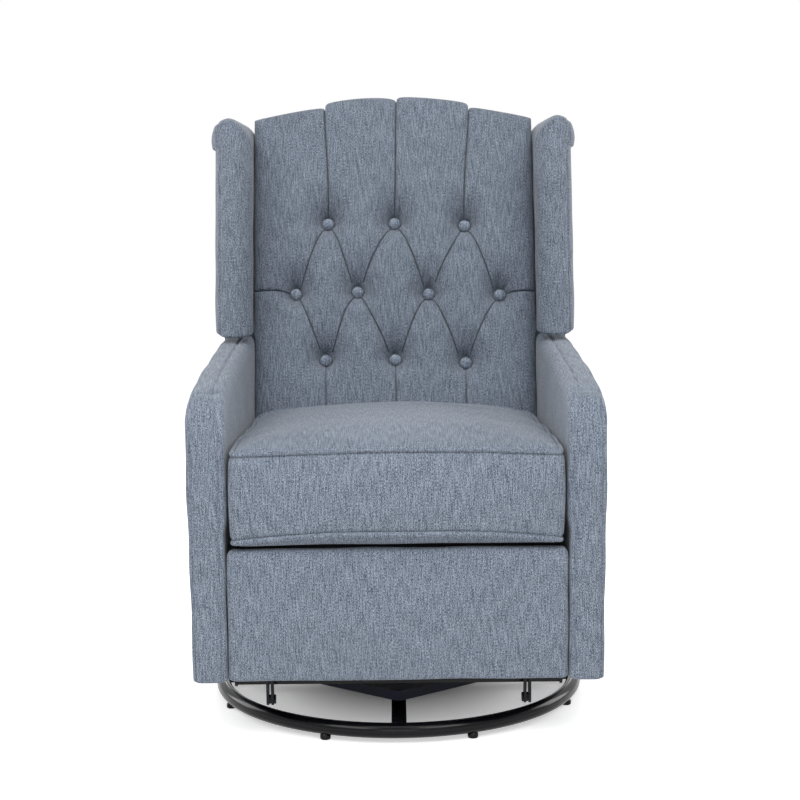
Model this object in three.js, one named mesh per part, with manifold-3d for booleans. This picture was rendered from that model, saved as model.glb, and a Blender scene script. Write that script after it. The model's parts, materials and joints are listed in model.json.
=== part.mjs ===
// Swivel glider recliner: a wing chair with a tufted back, on a ring base with a glide and recline mechanism.
// Millimetres. X runs across the chair, Y from its front to its rear, Z up. The floor is z = 0.
// Left and right are as seen from in front of the chair. Places are given from the swivel axis, and at the
// end the whole chair is moved along Y so that the middle of its bounding box is over the origin.

import * as THREE from 'three';
import { mergeVertices } from 'three/addons/utils/BufferGeometryUtils.js';
import Module from 'manifold-3d';

const wasm = await Module();
wasm.setup();

// Gaps and overruns
const seat_gap = 0.3; // between pieces that touch
const pin_gap = 0.4; // between a pin and its hole
const overrun = 2; // how far a cut or a joined piece reaches past the face that it meets

// Body of the chair
const inside_width = 552; // between the inner faces of the arms
const arm_thickness = 59;
const front_reach = 350; // from the swivel axis to the front of the arms
const arm_rear_reach = 280;
const skirt_height = 112; // floor to the lower edge of the arms

// Arms
const arm_shoulder_height = 515; // where the round of the front begins
const arm_brow_height = 575; // where that round ends
const arm_brow_depth = 50;
const arm_top_rear_height = 628;
const arm_tail_round = 30;
const arm_edge_radius = 16;
const arm_inner_swell = 5;
const arm_swell_height = 500;
const arm_swell_rise = 70;
const arm_foot_taper = 5;
const arm_taper_height = 400;

// Ring base
const ring_radius = 318; // centre line of the tube
const ring_tube_radius = 12.7;
const foot_height = 8;
const foot_radius = 8;
const foot_count = 8;
const cross_bar_width = 25;
const cross_bar_height = 18;
const hub_radius = 60;
const hub_thickness = 4;

// Swivel bearing
const race_inner_radius = 22;
const race_outer_radius = 56;
const race_thickness = 4;
const race_space = 4.4;
const ball_circle_radius = 42;
const ball_radius = 3.8;
const ball_count = 8;
const ball_gap = 0.6; // between a ball and its groove
const cage_thickness = 1.6;
const cage_half_width = 6;
const kingpin_radius = 8;
const kingpin_head_radius = 15;
const kingpin_head_height = 6;
const kingpin_nut_height = 10;
const kingpin_tip = 3;

// Swivel plate and glider brackets
const plate_thickness = 4;
const plate_half_width = 250;
const plate_side_half_length = 50;
const plate_nose_reach = 242;
const plate_corner_radius = 12;
const plate_lip_height = 12;
const plate_lip_thickness = 3;
const plate_lip_gap_half_length = 90;
const bracket_foot_width = 42;
const bracket_foot_half_length = 60;
const bracket_ear_radius = 16;
const bracket_root_radius = 24;
const bracket_root_reach = 40;

// Steel plates, links and rivets of the mechanism
const steel = 4; // thickness of every plate and link
const link_space = 3.7; // between neighbouring plates of the glide and the seat links
const plate_space = 12.3; // between a glider bracket and a seat plate
const rivet_radius = 6;
const rivet_head_radius = 9;
const rivet_head_height = 3;
const lever_space = 4; // between neighbouring levers of the footrest
const lever_rivet_radius = 5;
const lever_head_radius = 8;

// Glide
const glide_pivot_reach = 130;
const glide_pivot_height = 210;
const glide_link_length = 105;
const glide_link_radius = 13;

// Carriage
const rail_front_reach = 294;
const rail_rear_reach = 276;
const rail_bottom_height = 200;
const rail_top_height = 300;
const rail_corner_radius = 14;
const rail_leg_radius = 17;
const cross_tube_reach = 150;
const cross_tube_size = 25;
const cross_tube_wall = 2;
const cross_tube_height = 232; // floor to its lower face
const stretcher_reach = 223;
const stretcher_depth = 18;
const stretcher_height = 74;
const stretcher_rise = 18;
const stretcher_wall = 3;
const apron_thickness = 16;
const apron_top_height = 300;
const apron_edge_radius = 5;

// Seat links
const seat_link_length = 80;
const seat_link_lean = THREE.MathUtils.degToRad(25);
const seat_link_radius = 11;
const seat_link_height = 215; // floor to the lower pivots
const front_seat_link_reach = 205;
const rear_seat_link_reach = 210;

// Seat
const seat_plate_top = 313;
const seat_plate_height = 43;
const seat_plate_front_reach = 285;
const seat_plate_rear_reach = 255;
const seat_plate_flange = 18;
const seat_frame_side_space = 14;
const seat_frame_thickness = 20;
const seat_frame_front_reach = 290;
const seat_frame_rear_reach = 150;
const seat_frame_rail = 45;
const spring_count = 5;
const spring_wire = 4;
const spring_swing = 17;
const spring_runs = 10;
const spring_drop = 8;
const cushion_width = 536;
const cushion_height = 149;
const cushion_front_reach = 358;
const cushion_edge_radius = 18;
const cushion_crown = 20;
const cushion_front_bulge = 7;
const cushion_draw_in = 7;
const cushion_back_space = 4;

// Back
const back_lean = THREE.MathUtils.degToRad(16);
const back_face_reach = 183; // face of the back at the height of the seat front
const back_face_height = 480;
const back_foot_height = 370; // lower edge of the face
const back_lower_width = 528;
const back_upper_width = 550;
const back_step_height = 648; // where the back widens between the wings
const back_cushion_depth = 95;
const back_board_thickness = 12;
const back_panel_depth = 20;
const back_panel_round = 8;
const crest_height = 1096; // top of the back, measured at its face
const crest_fall = 46; // from the middle of the crest to its corners
const crest_notch = 6; // where a channel reaches the crest
const crest_power = 1.9;
const back_board_inset = 14;
const back_edge_radius = 26;
const hinge_reach = 200;
const hinge_height = 400;
const hinge_pin_radius = 8;
const hinge_ear_radius = 16;
const back_strap_radius = 10;
const back_strap_foot = 60;
const back_strap_length = 200;
const back_bracket_space = 0.5;

// Tufting
const tuft_pitch = 131;
const tuft_upper_height = 841;
const tuft_middle_height = 706;
const tuft_lower_height = 581;
const tuft_depth = 34;
const tuft_spread = 20;
const crease_depth = 17;
const crease_width = 11;
const channel_crest_reach = 143;
const lower_pleat_length = 90;
const tuft_columns = 4; // grid columns from a button to the next half pitch
const button_radius = 11;
const button_height = 9;
const button_rim = 3;
const tuft_hole_radius = 4;

// Wings
const wing_thickness = 60;
const wing_front_foot_reach = 118;
const wing_front_top_reach = 196;
const wing_foot_height = 634;
const wing_foot_rise = 14;
const wing_foot_run = 80;
const wing_top_height = 1042;
const wing_edge_radius = 20;
const wing_scroll_flare = 9;
const wing_scroll_height = 60;

// Footrest
const footrest_width = 546;
const footrest_foot_height = 113;
const footrest_top_height = 328;
const footrest_front_reach = 348;
const footrest_pad_depth = 28;
const footrest_edge_radius = 12;
const footrest_board_thickness = 15;
const footrest_board_inset = 6;
const bracket_flange_width = 20;
const bracket_flange_thickness = 3;
const lever_radius = 10;
const open_pivot_play = 1.4; // more room in the two holes where the linkage closes

// Pivots of the footrest levers, with the footrest folded, as reach ahead of the swivel axis and height
const front_root_reach = 266.1;
const front_root_height = 259.7;
const rear_root_reach = 232;
const rear_root_height = 289.4;
const front_knee_reach = 280.5;
const front_knee_height = 109;
const crossing_reach = 260.7;
const crossing_height = 116.2;
const rear_knee_reach = 260.6;
const rear_knee_height = 57.7;
const upper_foot_reach = 292.6;
const upper_foot_height = 259.7;
const lower_foot_reach = 292.4;
const lower_foot_height = 201.3;

// Counts of facets
const outline_steps = 12;
const hole_steps = 5;
const rod_steps = 8;
const button_steps = 10;
const ring_steps = 48;
const race_steps = 24;
const tube_steps = 8;

// Places across the chair, from the arms inward
const arm_face = inside_width / 2;
const rail_outer = arm_face - seat_gap;
const rail_inner = rail_outer - steel;
const link_outer = rail_inner - link_space;
const link_inner = link_outer - steel;
const bracket_outer = link_inner - link_space;
const bracket_inner = bracket_outer - steel;
const seat_plate_outer = bracket_inner - plate_space;
const seat_plate_inner = seat_plate_outer - steel;

// Heights up the base and the bearing
const ring_height = foot_height + ring_tube_radius;
const cross_bottom = ring_height - cross_bar_height / 2;
const hub_bottom = ring_height + cross_bar_height / 2;
const hub_top = hub_bottom + hub_thickness;
const lower_race_bottom = hub_top + seat_gap;
const lower_race_top = lower_race_bottom + race_thickness;
const upper_race_bottom = lower_race_top + race_space;
const upper_race_top = upper_race_bottom + race_thickness;
const ball_height = lower_race_top + race_space / 2;
const plate_bottom = upper_race_top + seat_gap;
const plate_top = plate_bottom + plate_thickness;
const bracket_bottom = plate_top + seat_gap;

// Heights up the seat
const seat_frame_bottom = seat_plate_top + seat_gap;
const seat_frame_top = seat_frame_bottom + seat_frame_thickness;
const cushion_bottom = seat_frame_top + seat_gap;

// Materials
const fabric = new THREE.MeshStandardMaterial({ color: 0x7f8b9a, roughness: 0.95, metalness: 0 });
const button_fabric = new THREE.MeshStandardMaterial({ color: 0x76818f, roughness: 0.95, metalness: 0 });
const black_steel = new THREE.MeshStandardMaterial({ color: 0x1c1c20, roughness: 0.35, metalness: 0.6 });
const zinc_steel = new THREE.MeshStandardMaterial({ color: 0x8d9096, roughness: 0.4, metalness: 0.9 });
const dark_steel = new THREE.MeshStandardMaterial({ color: 0x2a2c33, roughness: 0.5, metalness: 0.7 });
const plywood = new THREE.MeshStandardMaterial({ color: 0xc9a979, roughness: 0.8, metalness: 0 });

// Turns a closed three.js geometry into a solid for joining and cutting
function solid(geometry) {
  const bare = geometry.clone();
  bare.deleteAttribute('normal');
  bare.deleteAttribute('uv');
  const merged = mergeVertices(bare);
  return new wasm.Manifold(
    new wasm.Mesh({
      numProp: 3,
      vertProperties: new Float32Array(merged.attributes.position.array),
      triVerts: new Uint32Array(merged.index.array),
    }),
  );
}

// Joins solids into one
function joined(...solids) {
  return solids.reduce((whole, next) => whole.add(next));
}

// Takes each cut out of a solid
function cut(body, ...cuts) {
  return cuts.reduce((whole, next) => whole.subtract(next), body);
}

// Turns a solid back into a three.js geometry
function geometryOf(body) {
  const mesh = body.getMesh();
  const geometry = new THREE.BufferGeometry();
  const places = new Float32Array(mesh.vertProperties);
  geometry.setAttribute('position', new THREE.BufferAttribute(places, mesh.numProp));
  geometry.setIndex(new THREE.BufferAttribute(new Uint32Array(mesh.triVerts), 1));
  geometry.computeVertexNormals();
  return geometry;
}

// The same geometry on the other side of the chair
function mirrored(geometry) {
  const copy = geometry.clone();
  copy.applyMatrix4(new THREE.Matrix4().makeScale(-1, 1, 1));
  const index = copy.index.array;
  for (let i = 0; i < index.length; i += 3) {
    [index[i], index[i + 1]] = [index[i + 1], index[i]];
  }
  return copy;
}

const chair = new THREE.Group();

// Adds one named piece to the chair
function add(name, body, material) {
  const mesh = new THREE.Mesh(geometryOf(body), material);
  mesh.name = name;
  chair.add(mesh);
}

// Adds a piece made for the right side and its mirror image for the left
function addPair(name, body, material) {
  const right = new THREE.Mesh(geometryOf(body), material);
  right.name = `right_${name}`;
  const left = new THREE.Mesh(mirrored(right.geometry), material);
  left.name = `left_${name}`;
  chair.add(right, left);
}

// Outline round a set of circles, each given as two centre coordinates and a radius: the furthest point in
// each direction, with the two ends of every straight stretch between circles
function around(circles, steps = outline_steps) {
  const reach = (circle, angle) => circle[0] * Math.cos(angle) + circle[1] * Math.sin(angle) + circle[2];
  const further = (angle) => (best, next) => (reach(next, angle) > reach(best, angle) ? next : best);
  const furthest = (angle) => circles.reduce(further(angle));
  const full = 2 * Math.PI;
  const nudge = 1e-6;
  const stops = [];
  for (let i = 0; i < steps; i++) {
    const angle = (i / steps) * full + nudge * 3;
    stops.push([angle, furthest(angle)]);
  }
  for (const from of circles) {
    for (const to of circles) {
      const span = Math.hypot(to[0] - from[0], to[1] - from[1]);
      if (span <= Math.abs(from[2] - to[2])) {
        continue;
      }
      const heading = Math.atan2(to[1] - from[1], to[0] - from[0]);
      const angle = (heading - Math.acos((from[2] - to[2]) / span) + 2 * full) % full;
      if (reach(furthest(angle), angle) - reach(from, angle) < nudge * span) {
        stops.push([angle - nudge, from], [angle + nudge, to]);
      }
    }
  }
  stops.sort((one, other) => one[0] - other[0]);
  const points = [];
  for (const [angle, circle] of stops) {
    const point = new THREE.Vector2(Math.cos(angle), Math.sin(angle)).multiplyScalar(circle[2]);
    point.add(new THREE.Vector2(circle[0], circle[1]));
    if (points.every((other) => other.distanceTo(point) > circle[2] / 100)) {
      points.push(point);
    }
  }
  return points;
}

// Extrudes an outline with round holes by a depth along its own Z
function extruded(outline, depth, holes = []) {
  const shape = new THREE.Shape(outline);
  for (const [across, up, radius] of holes) {
    shape.holes.push(new THREE.Path().absarc(across, up, radius, 0, 2 * Math.PI, true));
  }
  return new THREE.ExtrudeGeometry(shape, { depth, bevelEnabled: false, curveSegments: hole_steps });
}

// A flat steel piece that stands along the chair: its outline is in Y and Z, its thickness in X
function upright(outline, inner, outer, holes = []) {
  const geometry = extruded(outline, outer - inner, holes);
  const along = new THREE.Vector3(0, 1, 0);
  const up = new THREE.Vector3(0, 0, 1);
  const across = new THREE.Vector3(1, 0, 0);
  geometry.applyMatrix4(new THREE.Matrix4().makeBasis(along, up, across));
  geometry.translate(inner, 0, 0);
  return solid(geometry);
}

// A flat piece that lies level: its outline is in X and Y
function level(outline, bottom, top, holes = []) {
  const geometry = extruded(outline, top - bottom, holes);
  geometry.translate(0, 0, bottom);
  return solid(geometry);
}

// A rectangular block between two corners
function block(x0, x1, y0, y1, z0, z1) {
  const geometry = new THREE.BoxGeometry(x1 - x0, y1 - y0, z1 - z0);
  geometry.translate((x0 + x1) / 2, (y0 + y1) / 2, (z0 + z1) / 2);
  return solid(geometry);
}

// A round bar across the chair
function rodAcross(inner, outer, y, z, radius, steps = rod_steps) {
  const geometry = new THREE.CylinderGeometry(radius, radius, outer - inner, steps);
  geometry.rotateZ(Math.PI / 2);
  geometry.translate((inner + outer) / 2, y, z);
  return solid(geometry);
}

// A round bar that stands upright
function rodUpright(x, y, bottom, top, radius, steps = rod_steps) {
  const geometry = new THREE.CylinderGeometry(radius, radius, top - bottom, steps);
  geometry.rotateX(Math.PI / 2);
  geometry.translate(x, y, (bottom + top) / 2);
  return solid(geometry);
}

// A body turned about the swivel axis from points of radius and height
function turned(points, steps) {
  const profile = points.map(([radius, height]) => new THREE.Vector2(radius, height));
  const geometry = new THREE.LatheGeometry(profile, steps);
  geometry.rotateX(Math.PI / 2);
  return solid(geometry);
}

// A rivet that stands on a plate at x = root and holds a link whose faces are at x = near and x = far: a
// collar up to the link, the shank through it and a head behind it
function rivet(root, near, far, pivot, radius, head_radius) {
  const away = Math.sign(far - root);
  const [y, z] = pivot;
  const ends = (a, b) => [Math.min(a, b), Math.max(a, b)];
  const head_near = far + away * seat_gap;
  const head_far = head_near + away * rivet_head_height;
  const start = root - away * overrun / 2;
  const collar = rodAcross(...ends(start, near - away * seat_gap), y, z, head_radius);
  const shank = rodAcross(...ends(start, head_far - away * rivet_head_height / 2), y, z, radius);
  const head = rodAcross(...ends(head_near, head_far), y, z, head_radius);
  return joined(collar, shank, head);
}

// A padded block about the origin: a grid on a box, drawn together towards its edges, with those edges
// rounded, and then shaped by a function that moves each point
const crowding = 1.7;
function padded(halves, radius, counts, shape) {
  const geometry = new THREE.BoxGeometry(2, 2, 2, ...counts);
  const crowd = (t) => Math.sign(t) * (1 - (1 - Math.abs(t)) ** crowding);
  const place = geometry.attributes.position;
  const size = new THREE.Vector3(...halves);
  const core = size.clone().subScalar(radius);
  const point = new THREE.Vector3();
  const inner = new THREE.Vector3();
  for (let i = 0; i < place.count; i++) {
    point.fromBufferAttribute(place, i);
    point.set(crowd(point.x), crowd(point.y), crowd(point.z)).multiply(size);
    inner.copy(point).clamp(core.clone().negate(), core);
    point.sub(inner).setLength(radius).add(inner);
    shape(point);
    place.setXYZ(i, point.x, point.y, point.z);
  }
  return solid(geometry);
}

// Share of the way from one value to another, eased at both ends
function eased(value, from, to) {
  return THREE.MathUtils.smoothstep(value, from, to);
}

// Height of the leaning face of the back at some height, as reach behind the swivel axis
function backFaceReach(height) {
  return back_face_reach + (height - back_face_height) * Math.tan(back_lean);
}

// A point of the leaning back: across it, up along its face from its lower edge, and depth behind its face
function onBack(x, rise, depth) {
  const y = backFaceReach(back_foot_height) + rise * Math.sin(back_lean) + depth * Math.cos(back_lean);
  const z = back_foot_height + rise * Math.cos(back_lean) - depth * Math.sin(back_lean);
  return new THREE.Vector3(x, y, z);
}

// Rise along the face of the back for a height above the floor
function riseAt(height) {
  return (height - back_foot_height) / Math.cos(back_lean);
}

// Ring base: a bent tube with feet under it, and a cross with the hub
function baseRing() {
  const torus = new THREE.TorusGeometry(ring_radius, ring_tube_radius, tube_steps, ring_steps);
  torus.translate(0, 0, ring_height);
  const feet = [];
  for (let i = 0; i < foot_count; i++) {
    const angle = ((i + 0.5) / foot_count) * 2 * Math.PI;
    const x = ring_radius * Math.cos(angle);
    const y = ring_radius * Math.sin(angle);
    feet.push(rodUpright(x, y, 0, ring_height - ring_tube_radius / 2, foot_radius));
  }
  return joined(solid(torus), ...feet);
}

function baseCross() {
  const bar = ring_radius;
  const half = cross_bar_width / 2;
  const along = block(-half, half, -bar, bar, cross_bottom, hub_bottom);
  const across = block(-bar, bar, -half, half, cross_bottom, hub_bottom);
  const hub = rodUpright(0, 0, hub_bottom - overrun, hub_top, hub_radius, ring_steps / 2);
  const bore = rodUpright(0, 0, 0, hub_top + overrun, kingpin_radius + pin_gap, rod_steps * 2);
  const tube = new THREE.TorusGeometry(ring_radius, ring_tube_radius + seat_gap, tube_steps, ring_steps);
  tube.translate(0, 0, ring_height);
  const outside = cut(
    rodUpright(0, 0, 0, hub_top, ring_radius + ring_tube_radius, ring_steps),
    rodUpright(0, 0, -overrun, hub_top + overrun, ring_radius, ring_steps),
  );
  return cut(joined(along, across, hub), bore, solid(tube), outside);
}

// Swivel bearing: two races with a groove for the balls, the balls in their cage, and the pin that holds them
function race(face, back) {
  const groove = ball_radius + ball_gap;
  const half_angle = Math.acos(Math.abs(ball_height - face) / groove);
  const towards = Math.sign(back - face);
  const arc_steps = 4;
  const points = [[race_inner_radius, back], [race_inner_radius, face]];
  for (let i = 0; i <= arc_steps; i++) {
    const angle = half_angle * ((2 * i) / arc_steps - 1);
    const radius = ball_circle_radius + groove * Math.sin(angle);
    points.push([radius, ball_height + towards * groove * Math.cos(angle)]);
  }
  points.push([race_outer_radius, face], [race_outer_radius, back], [race_inner_radius, back]);
  return turned(towards < 0 ? points.reverse() : points, race_steps);
}

function ballCage() {
  const low = ball_height - cage_thickness / 2;
  const high = ball_height + cage_thickness / 2;
  const near = ball_circle_radius - cage_half_width;
  const far = ball_circle_radius + cage_half_width;
  const ring = turned([[near, low], [far, low], [far, high], [near, high], [near, low]], race_steps);
  const balls = [];
  for (let i = 0; i < ball_count; i++) {
    const angle = (i / ball_count) * 2 * Math.PI;
    const ball = new THREE.SphereGeometry(ball_radius, rod_steps, rod_steps / 2);
    ball.translate(ball_circle_radius * Math.cos(angle), ball_circle_radius * Math.sin(angle), ball_height);
    balls.push(solid(ball));
  }
  return joined(ring, ...balls);
}

function kingpin() {
  const head_top = cross_bottom - seat_gap;
  const nut_bottom = plate_top + seat_gap;
  const nut_top = nut_bottom + kingpin_nut_height;
  const head = rodUpright(0, 0, head_top - kingpin_head_height, head_top, kingpin_head_radius, 6);
  const nut = rodUpright(0, 0, nut_bottom, nut_top, kingpin_head_radius, 6);
  const shank = rodUpright(0, 0, head_top - overrun, nut_top + kingpin_tip, kingpin_radius);
  return joined(head, nut, shank);
}

// Swivel plate: a pressed steel diamond with turned-up lips on its four slanted edges
function swivelPlate() {
  const side = plate_half_width - plate_corner_radius;
  const nose = plate_nose_reach - plate_corner_radius;
  const corners = (shrink) => [
    [side, -plate_side_half_length, plate_corner_radius - shrink],
    [side, plate_side_half_length, plate_corner_radius - shrink],
    [0, nose, plate_corner_radius - shrink],
    [-side, plate_side_half_length, plate_corner_radius - shrink],
    [-side, -plate_side_half_length, plate_corner_radius - shrink],
    [0, -nose, plate_corner_radius - shrink],
  ];
  const bore = [0, 0, kingpin_radius + 2 * pin_gap];
  const sheet = level(around(corners(0)), plate_bottom, plate_top, [bore]);
  const lip_top = plate_top + plate_lip_height;
  const rim = cut(
    level(around(corners(0)), plate_bottom, lip_top),
    level(around(corners(plate_lip_thickness)), plate_bottom - overrun, lip_top + overrun),
    block(-plate_half_width, plate_half_width, -plate_lip_gap_half_length, plate_lip_gap_half_length,
      plate_bottom - overrun, lip_top + overrun),
  );
  return joined(sheet, rim);
}

// Glider bracket: a foot on the swivel plate and two arms that carry the upper pivots of the glide links
function gliderBracket() {
  const foot_top = bracket_bottom + steel;
  const root_height = bracket_bottom + bracket_root_radius;
  const parts = [
    block(bracket_inner - bracket_foot_width, bracket_inner + overrun, -bracket_foot_half_length,
      bracket_foot_half_length, bracket_bottom, foot_top),
  ];
  const base = [];
  for (const side of [-1, 1]) {
    const root = [side * bracket_root_reach, root_height, bracket_root_radius];
    const ear = [side * glide_pivot_reach, glide_pivot_height, bracket_ear_radius];
    parts.push(upright(around([root, ear]), bracket_inner, bracket_outer));
    base.push(root);
    const pivot = [side * glide_pivot_reach, glide_pivot_height];
    parts.push(rivet(bracket_outer, link_inner, link_outer, pivot, rivet_radius, rivet_head_radius));
  }
  parts.push(upright(around(base), bracket_inner, bracket_outer));
  return joined(...parts);
}

// A flat link between pivots, with a hole at each
function link(pivots, inner, outer, radius, hole_radii) {
  const wall = radius - Math.min(...hole_radii.filter((hole) => hole > 0));
  const circles = pivots.map(([y, z], i) => [y, z, Math.max(radius, hole_radii[i] + wall)]);
  const holes = [];
  pivots.forEach(([y, z], i) => {
    if (hole_radii[i] > 0) {
      holes.push([y, z, hole_radii[i]]);
    }
  });
  return upright(around(circles), inner, outer, holes);
}

function glideLink(side) {
  const top = [side * glide_pivot_reach, glide_pivot_height];
  const foot = [side * glide_pivot_reach, glide_pivot_height - glide_link_length];
  const hole = rivet_radius + pin_gap;
  return link([top, foot], link_inner, link_outer, glide_link_radius, [hole, hole]);
}

// Side rail of the carriage: a beam inside the arm, three legs down to the glide links and the stretcher,
// and a post at the rear for the hinge of the back
const seat_link_feet = [
  [-front_seat_link_reach, seat_link_height],
  [rear_seat_link_reach, seat_link_height],
];

function sideRail() {
  const r = rail_corner_radius;
  const low = rail_bottom_height + r;
  const high = rail_top_height - r;
  const front = -rail_front_reach + r;
  const rear = rail_rear_reach - r;
  const beam = [[front, low, r], [front, high, r], [rear, low, r], [rear, high, r]];
  const ear = [hinge_reach, hinge_height, hinge_ear_radius];
  const post = [ear, [hinge_reach - r, high, r], [hinge_reach + r * 2, high, r]];
  const glide_foot = glide_pivot_height - glide_link_length;
  const stretcher_middle = stretcher_height + stretcher_rise / 2;
  const parts = [beam, post].map((circles) => upright(around(circles), rail_inner, rail_outer));
  for (const side of [-1, 1]) {
    const foot = [side * glide_pivot_reach, glide_foot, rail_leg_radius];
    const root = [side * (glide_pivot_reach + rail_leg_radius), low, rail_leg_radius];
    parts.push(upright(around([foot, root]), rail_inner, rail_outer));
    parts.push(rivet(rail_inner, link_outer, link_inner, foot, rivet_radius, rivet_head_radius));
  }
  const stretcher_foot = [-stretcher_reach, stretcher_middle, r];
  const stretcher_root = [-stretcher_reach - r, low, rail_leg_radius];
  parts.push(upright(around([stretcher_foot, stretcher_root]), rail_inner, rail_outer));
  for (const foot of seat_link_feet) {
    parts.push(rivet(rail_inner, link_outer, link_inner, foot, rivet_radius, rivet_head_radius));
  }
  const hole = rodAcross(rail_inner - overrun, rail_outer + overrun, hinge_reach, hinge_height,
    hinge_pin_radius + pin_gap, rod_steps * 2);
  return cut(joined(...parts), hole);
}

// Square tube between the two side rails, open at its ends
function crossTube(reach) {
  const half = cross_tube_size / 2;
  const middle = cross_tube_height + half;
  const length = rail_inner - seat_gap;
  const inside = half - cross_tube_wall;
  return cut(
    block(-length, length, reach - half, reach + half, middle - half, middle + half),
    block(-length - overrun, length + overrun, reach - inside, reach + inside,
      middle - inside, middle + inside),
  );
}

// Angle bar that ties the front legs of the side rails
function stretcher() {
  const length = rail_inner - seat_gap;
  const front = -stretcher_reach - stretcher_depth / 2;
  const rear = -stretcher_reach + stretcher_depth / 2;
  const top = stretcher_height + stretcher_rise;
  return joined(
    block(-length, length, front, front + stretcher_wall, stretcher_height, top),
    block(-length, length, front, rear, top - stretcher_wall, top),
  );
}

// Height of the top of an arm at a reach along it: a round brow in front, a rising top, a small round behind
function armTop(y) {
  const brow = -front_reach + arm_brow_depth;
  const tail = arm_rear_reach - arm_tail_round;
  if (y < brow) {
    const share = Math.min(1, (brow - y) / arm_brow_depth);
    return arm_shoulder_height + (arm_brow_height - arm_shoulder_height) * Math.sqrt(1 - share ** 2);
  }
  const run = (Math.min(y, tail) - brow) / (tail - brow);
  const bend_share = 0.62;
  const line = arm_brow_height + (arm_top_rear_height - arm_brow_height) * run ** bend_share;
  const drop_share = Math.max(0, (y - tail) / arm_tail_round);
  return line - arm_tail_round * (1 - Math.sqrt(Math.max(0, 1 - drop_share ** 2)));
}

// Arm: an upholstered panel with rounded edges that swells inward at its top and tapers a little at its foot
function arm() {
  const half_height = (arm_top_rear_height - skirt_height) / 2;
  const half_length = (front_reach + arm_rear_reach) / 2;
  const middle_y = (arm_rear_reach - front_reach) / 2;
  return padded([arm_thickness / 2, half_length, half_height], arm_edge_radius, [4, 14, 8], (point) => {
    const share = (point.z + half_height) / (2 * half_height);
    const inner_share = (arm_thickness / 2 - point.x) / arm_thickness;
    point.y += middle_y;
    point.z = skirt_height + share * (armTop(point.y) - skirt_height);
    const swell = eased(point.z, arm_swell_height, arm_swell_height + arm_swell_rise);
    const taper = Math.max(0, 1 - (point.z - skirt_height) / (arm_taper_height - skirt_height));
    point.x += arm_face + arm_thickness / 2;
    point.x -= arm_inner_swell * swell * inner_share + arm_foot_taper * taper * (1 - inner_share);
  });
}

// Apron: the padded board that closes the rear of the carriage between the side rails
function apron() {
  const half_height = (apron_top_height - skirt_height) / 2;
  const halves = [rail_inner - seat_gap, apron_thickness / 2, half_height];
  return padded(halves, apron_edge_radius, [4, 2, 4], (point) => {
    point.y += arm_rear_reach - apron_thickness / 2;
    point.z += skirt_height + half_height;
  });
}

// Pivots of the seat links on the seat plates, with the links leaning to the rear
const seat_link_tops = seat_link_feet.map(([y, z]) => [
  y + seat_link_length * Math.sin(seat_link_lean),
  z + seat_link_length * Math.cos(seat_link_lean),
]);

function seatLink(i) {
  const hole = rivet_radius + pin_gap;
  return link([seat_link_feet[i], seat_link_tops[i]], link_inner, link_outer, seat_link_radius, [hole, hole]);
}

// Planes of the footrest levers across the chair, counted inward from the seat plate
function leverPlane(count) {
  const outer = seat_plate_inner - lever_space - count * (steel + lever_space);
  return [outer - steel, outer];
}

const front_root = [-front_root_reach, front_root_height];
const rear_root = [-rear_root_reach, rear_root_height];
const front_knee = [-front_knee_reach, front_knee_height];
const crossing = [-crossing_reach, crossing_height];
const rear_knee = [-rear_knee_reach, rear_knee_height];
const upper_foot = [-upper_foot_reach, upper_foot_height];
const lower_foot = [-lower_foot_reach, lower_foot_height];

// Seat plate: a steel angle with the pivots of the seat links outside and of the footrest levers inside
function seatPlate() {
  const r = steel * 2;
  const low = seat_plate_top - seat_plate_height + r;
  const high = seat_plate_top - r;
  const front = -seat_plate_front_reach + r;
  const rear = seat_plate_rear_reach - r;
  const web = [[front, low, r], [front, high, r], [rear, low, r], [rear, high, r]];
  const ear_radius = lever_radius + steel / 2;
  const ear = [[...front_root, ear_radius], [-front_root_reach, high, ear_radius - steel]];
  const flange = block(seat_plate_inner, seat_plate_outer + seat_plate_flange, front, rear,
    seat_plate_top - steel, seat_plate_top);
  const parts = [upright(around(web), seat_plate_inner, seat_plate_outer), flange];
  parts.push(upright(around(ear), seat_plate_inner, seat_plate_outer));
  for (const top of seat_link_tops) {
    parts.push(rivet(seat_plate_outer, link_inner, link_outer, top, rivet_radius, rivet_head_radius));
  }
  const [front_inner, front_outer] = leverPlane(0);
  const [rear_inner, rear_outer] = leverPlane(2);
  const pivot = (near, far, place) =>
    rivet(seat_plate_inner, near, far, place, lever_rivet_radius, lever_head_radius);
  parts.push(pivot(front_outer, front_inner, front_root), pivot(rear_outer, rear_inner, rear_root));
  return joined(...parts);
}

// A zigzag wire seen from above, as a band between two edges
function zigzag(x, from, to) {
  const near = [];
  const far = [];
  for (let i = 0; i <= spring_runs; i++) {
    const y = THREE.MathUtils.lerp(from, to, i / spring_runs);
    const swing = i === 0 || i === spring_runs ? 0 : i % 2 === 0 ? spring_swing : -spring_swing;
    near.push(new THREE.Vector2(x + swing + spring_wire / 2, y));
    far.unshift(new THREE.Vector2(x + swing - spring_wire / 2, y));
  }
  return [...near, ...far];
}

// Seat frame: four wooden rails and the zigzag springs between them
function seatFrame() {
  const half = arm_face - seat_frame_side_space;
  const opening = half - seat_frame_rail;
  const front = -seat_frame_front_reach;
  const rear = seat_frame_rear_reach;
  const frame = cut(
    block(-half, half, front, rear, seat_frame_bottom, seat_frame_top),
    block(-opening, opening, front + seat_frame_rail, rear - seat_frame_rail, seat_frame_bottom - overrun,
      seat_frame_top + overrun),
  );
  const springs = [];
  const spring_top = seat_frame_top - spring_drop;
  for (let i = 0; i < spring_count; i++) {
    const x = opening * ((2 * (i + 1)) / (spring_count + 1) - 1);
    const outline = zigzag(x, front + seat_frame_rail - spring_wire, rear - seat_frame_rail + spring_wire);
    springs.push(level(outline, spring_top - spring_wire, spring_top));
  }
  return joined(frame, ...springs);
}

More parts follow.
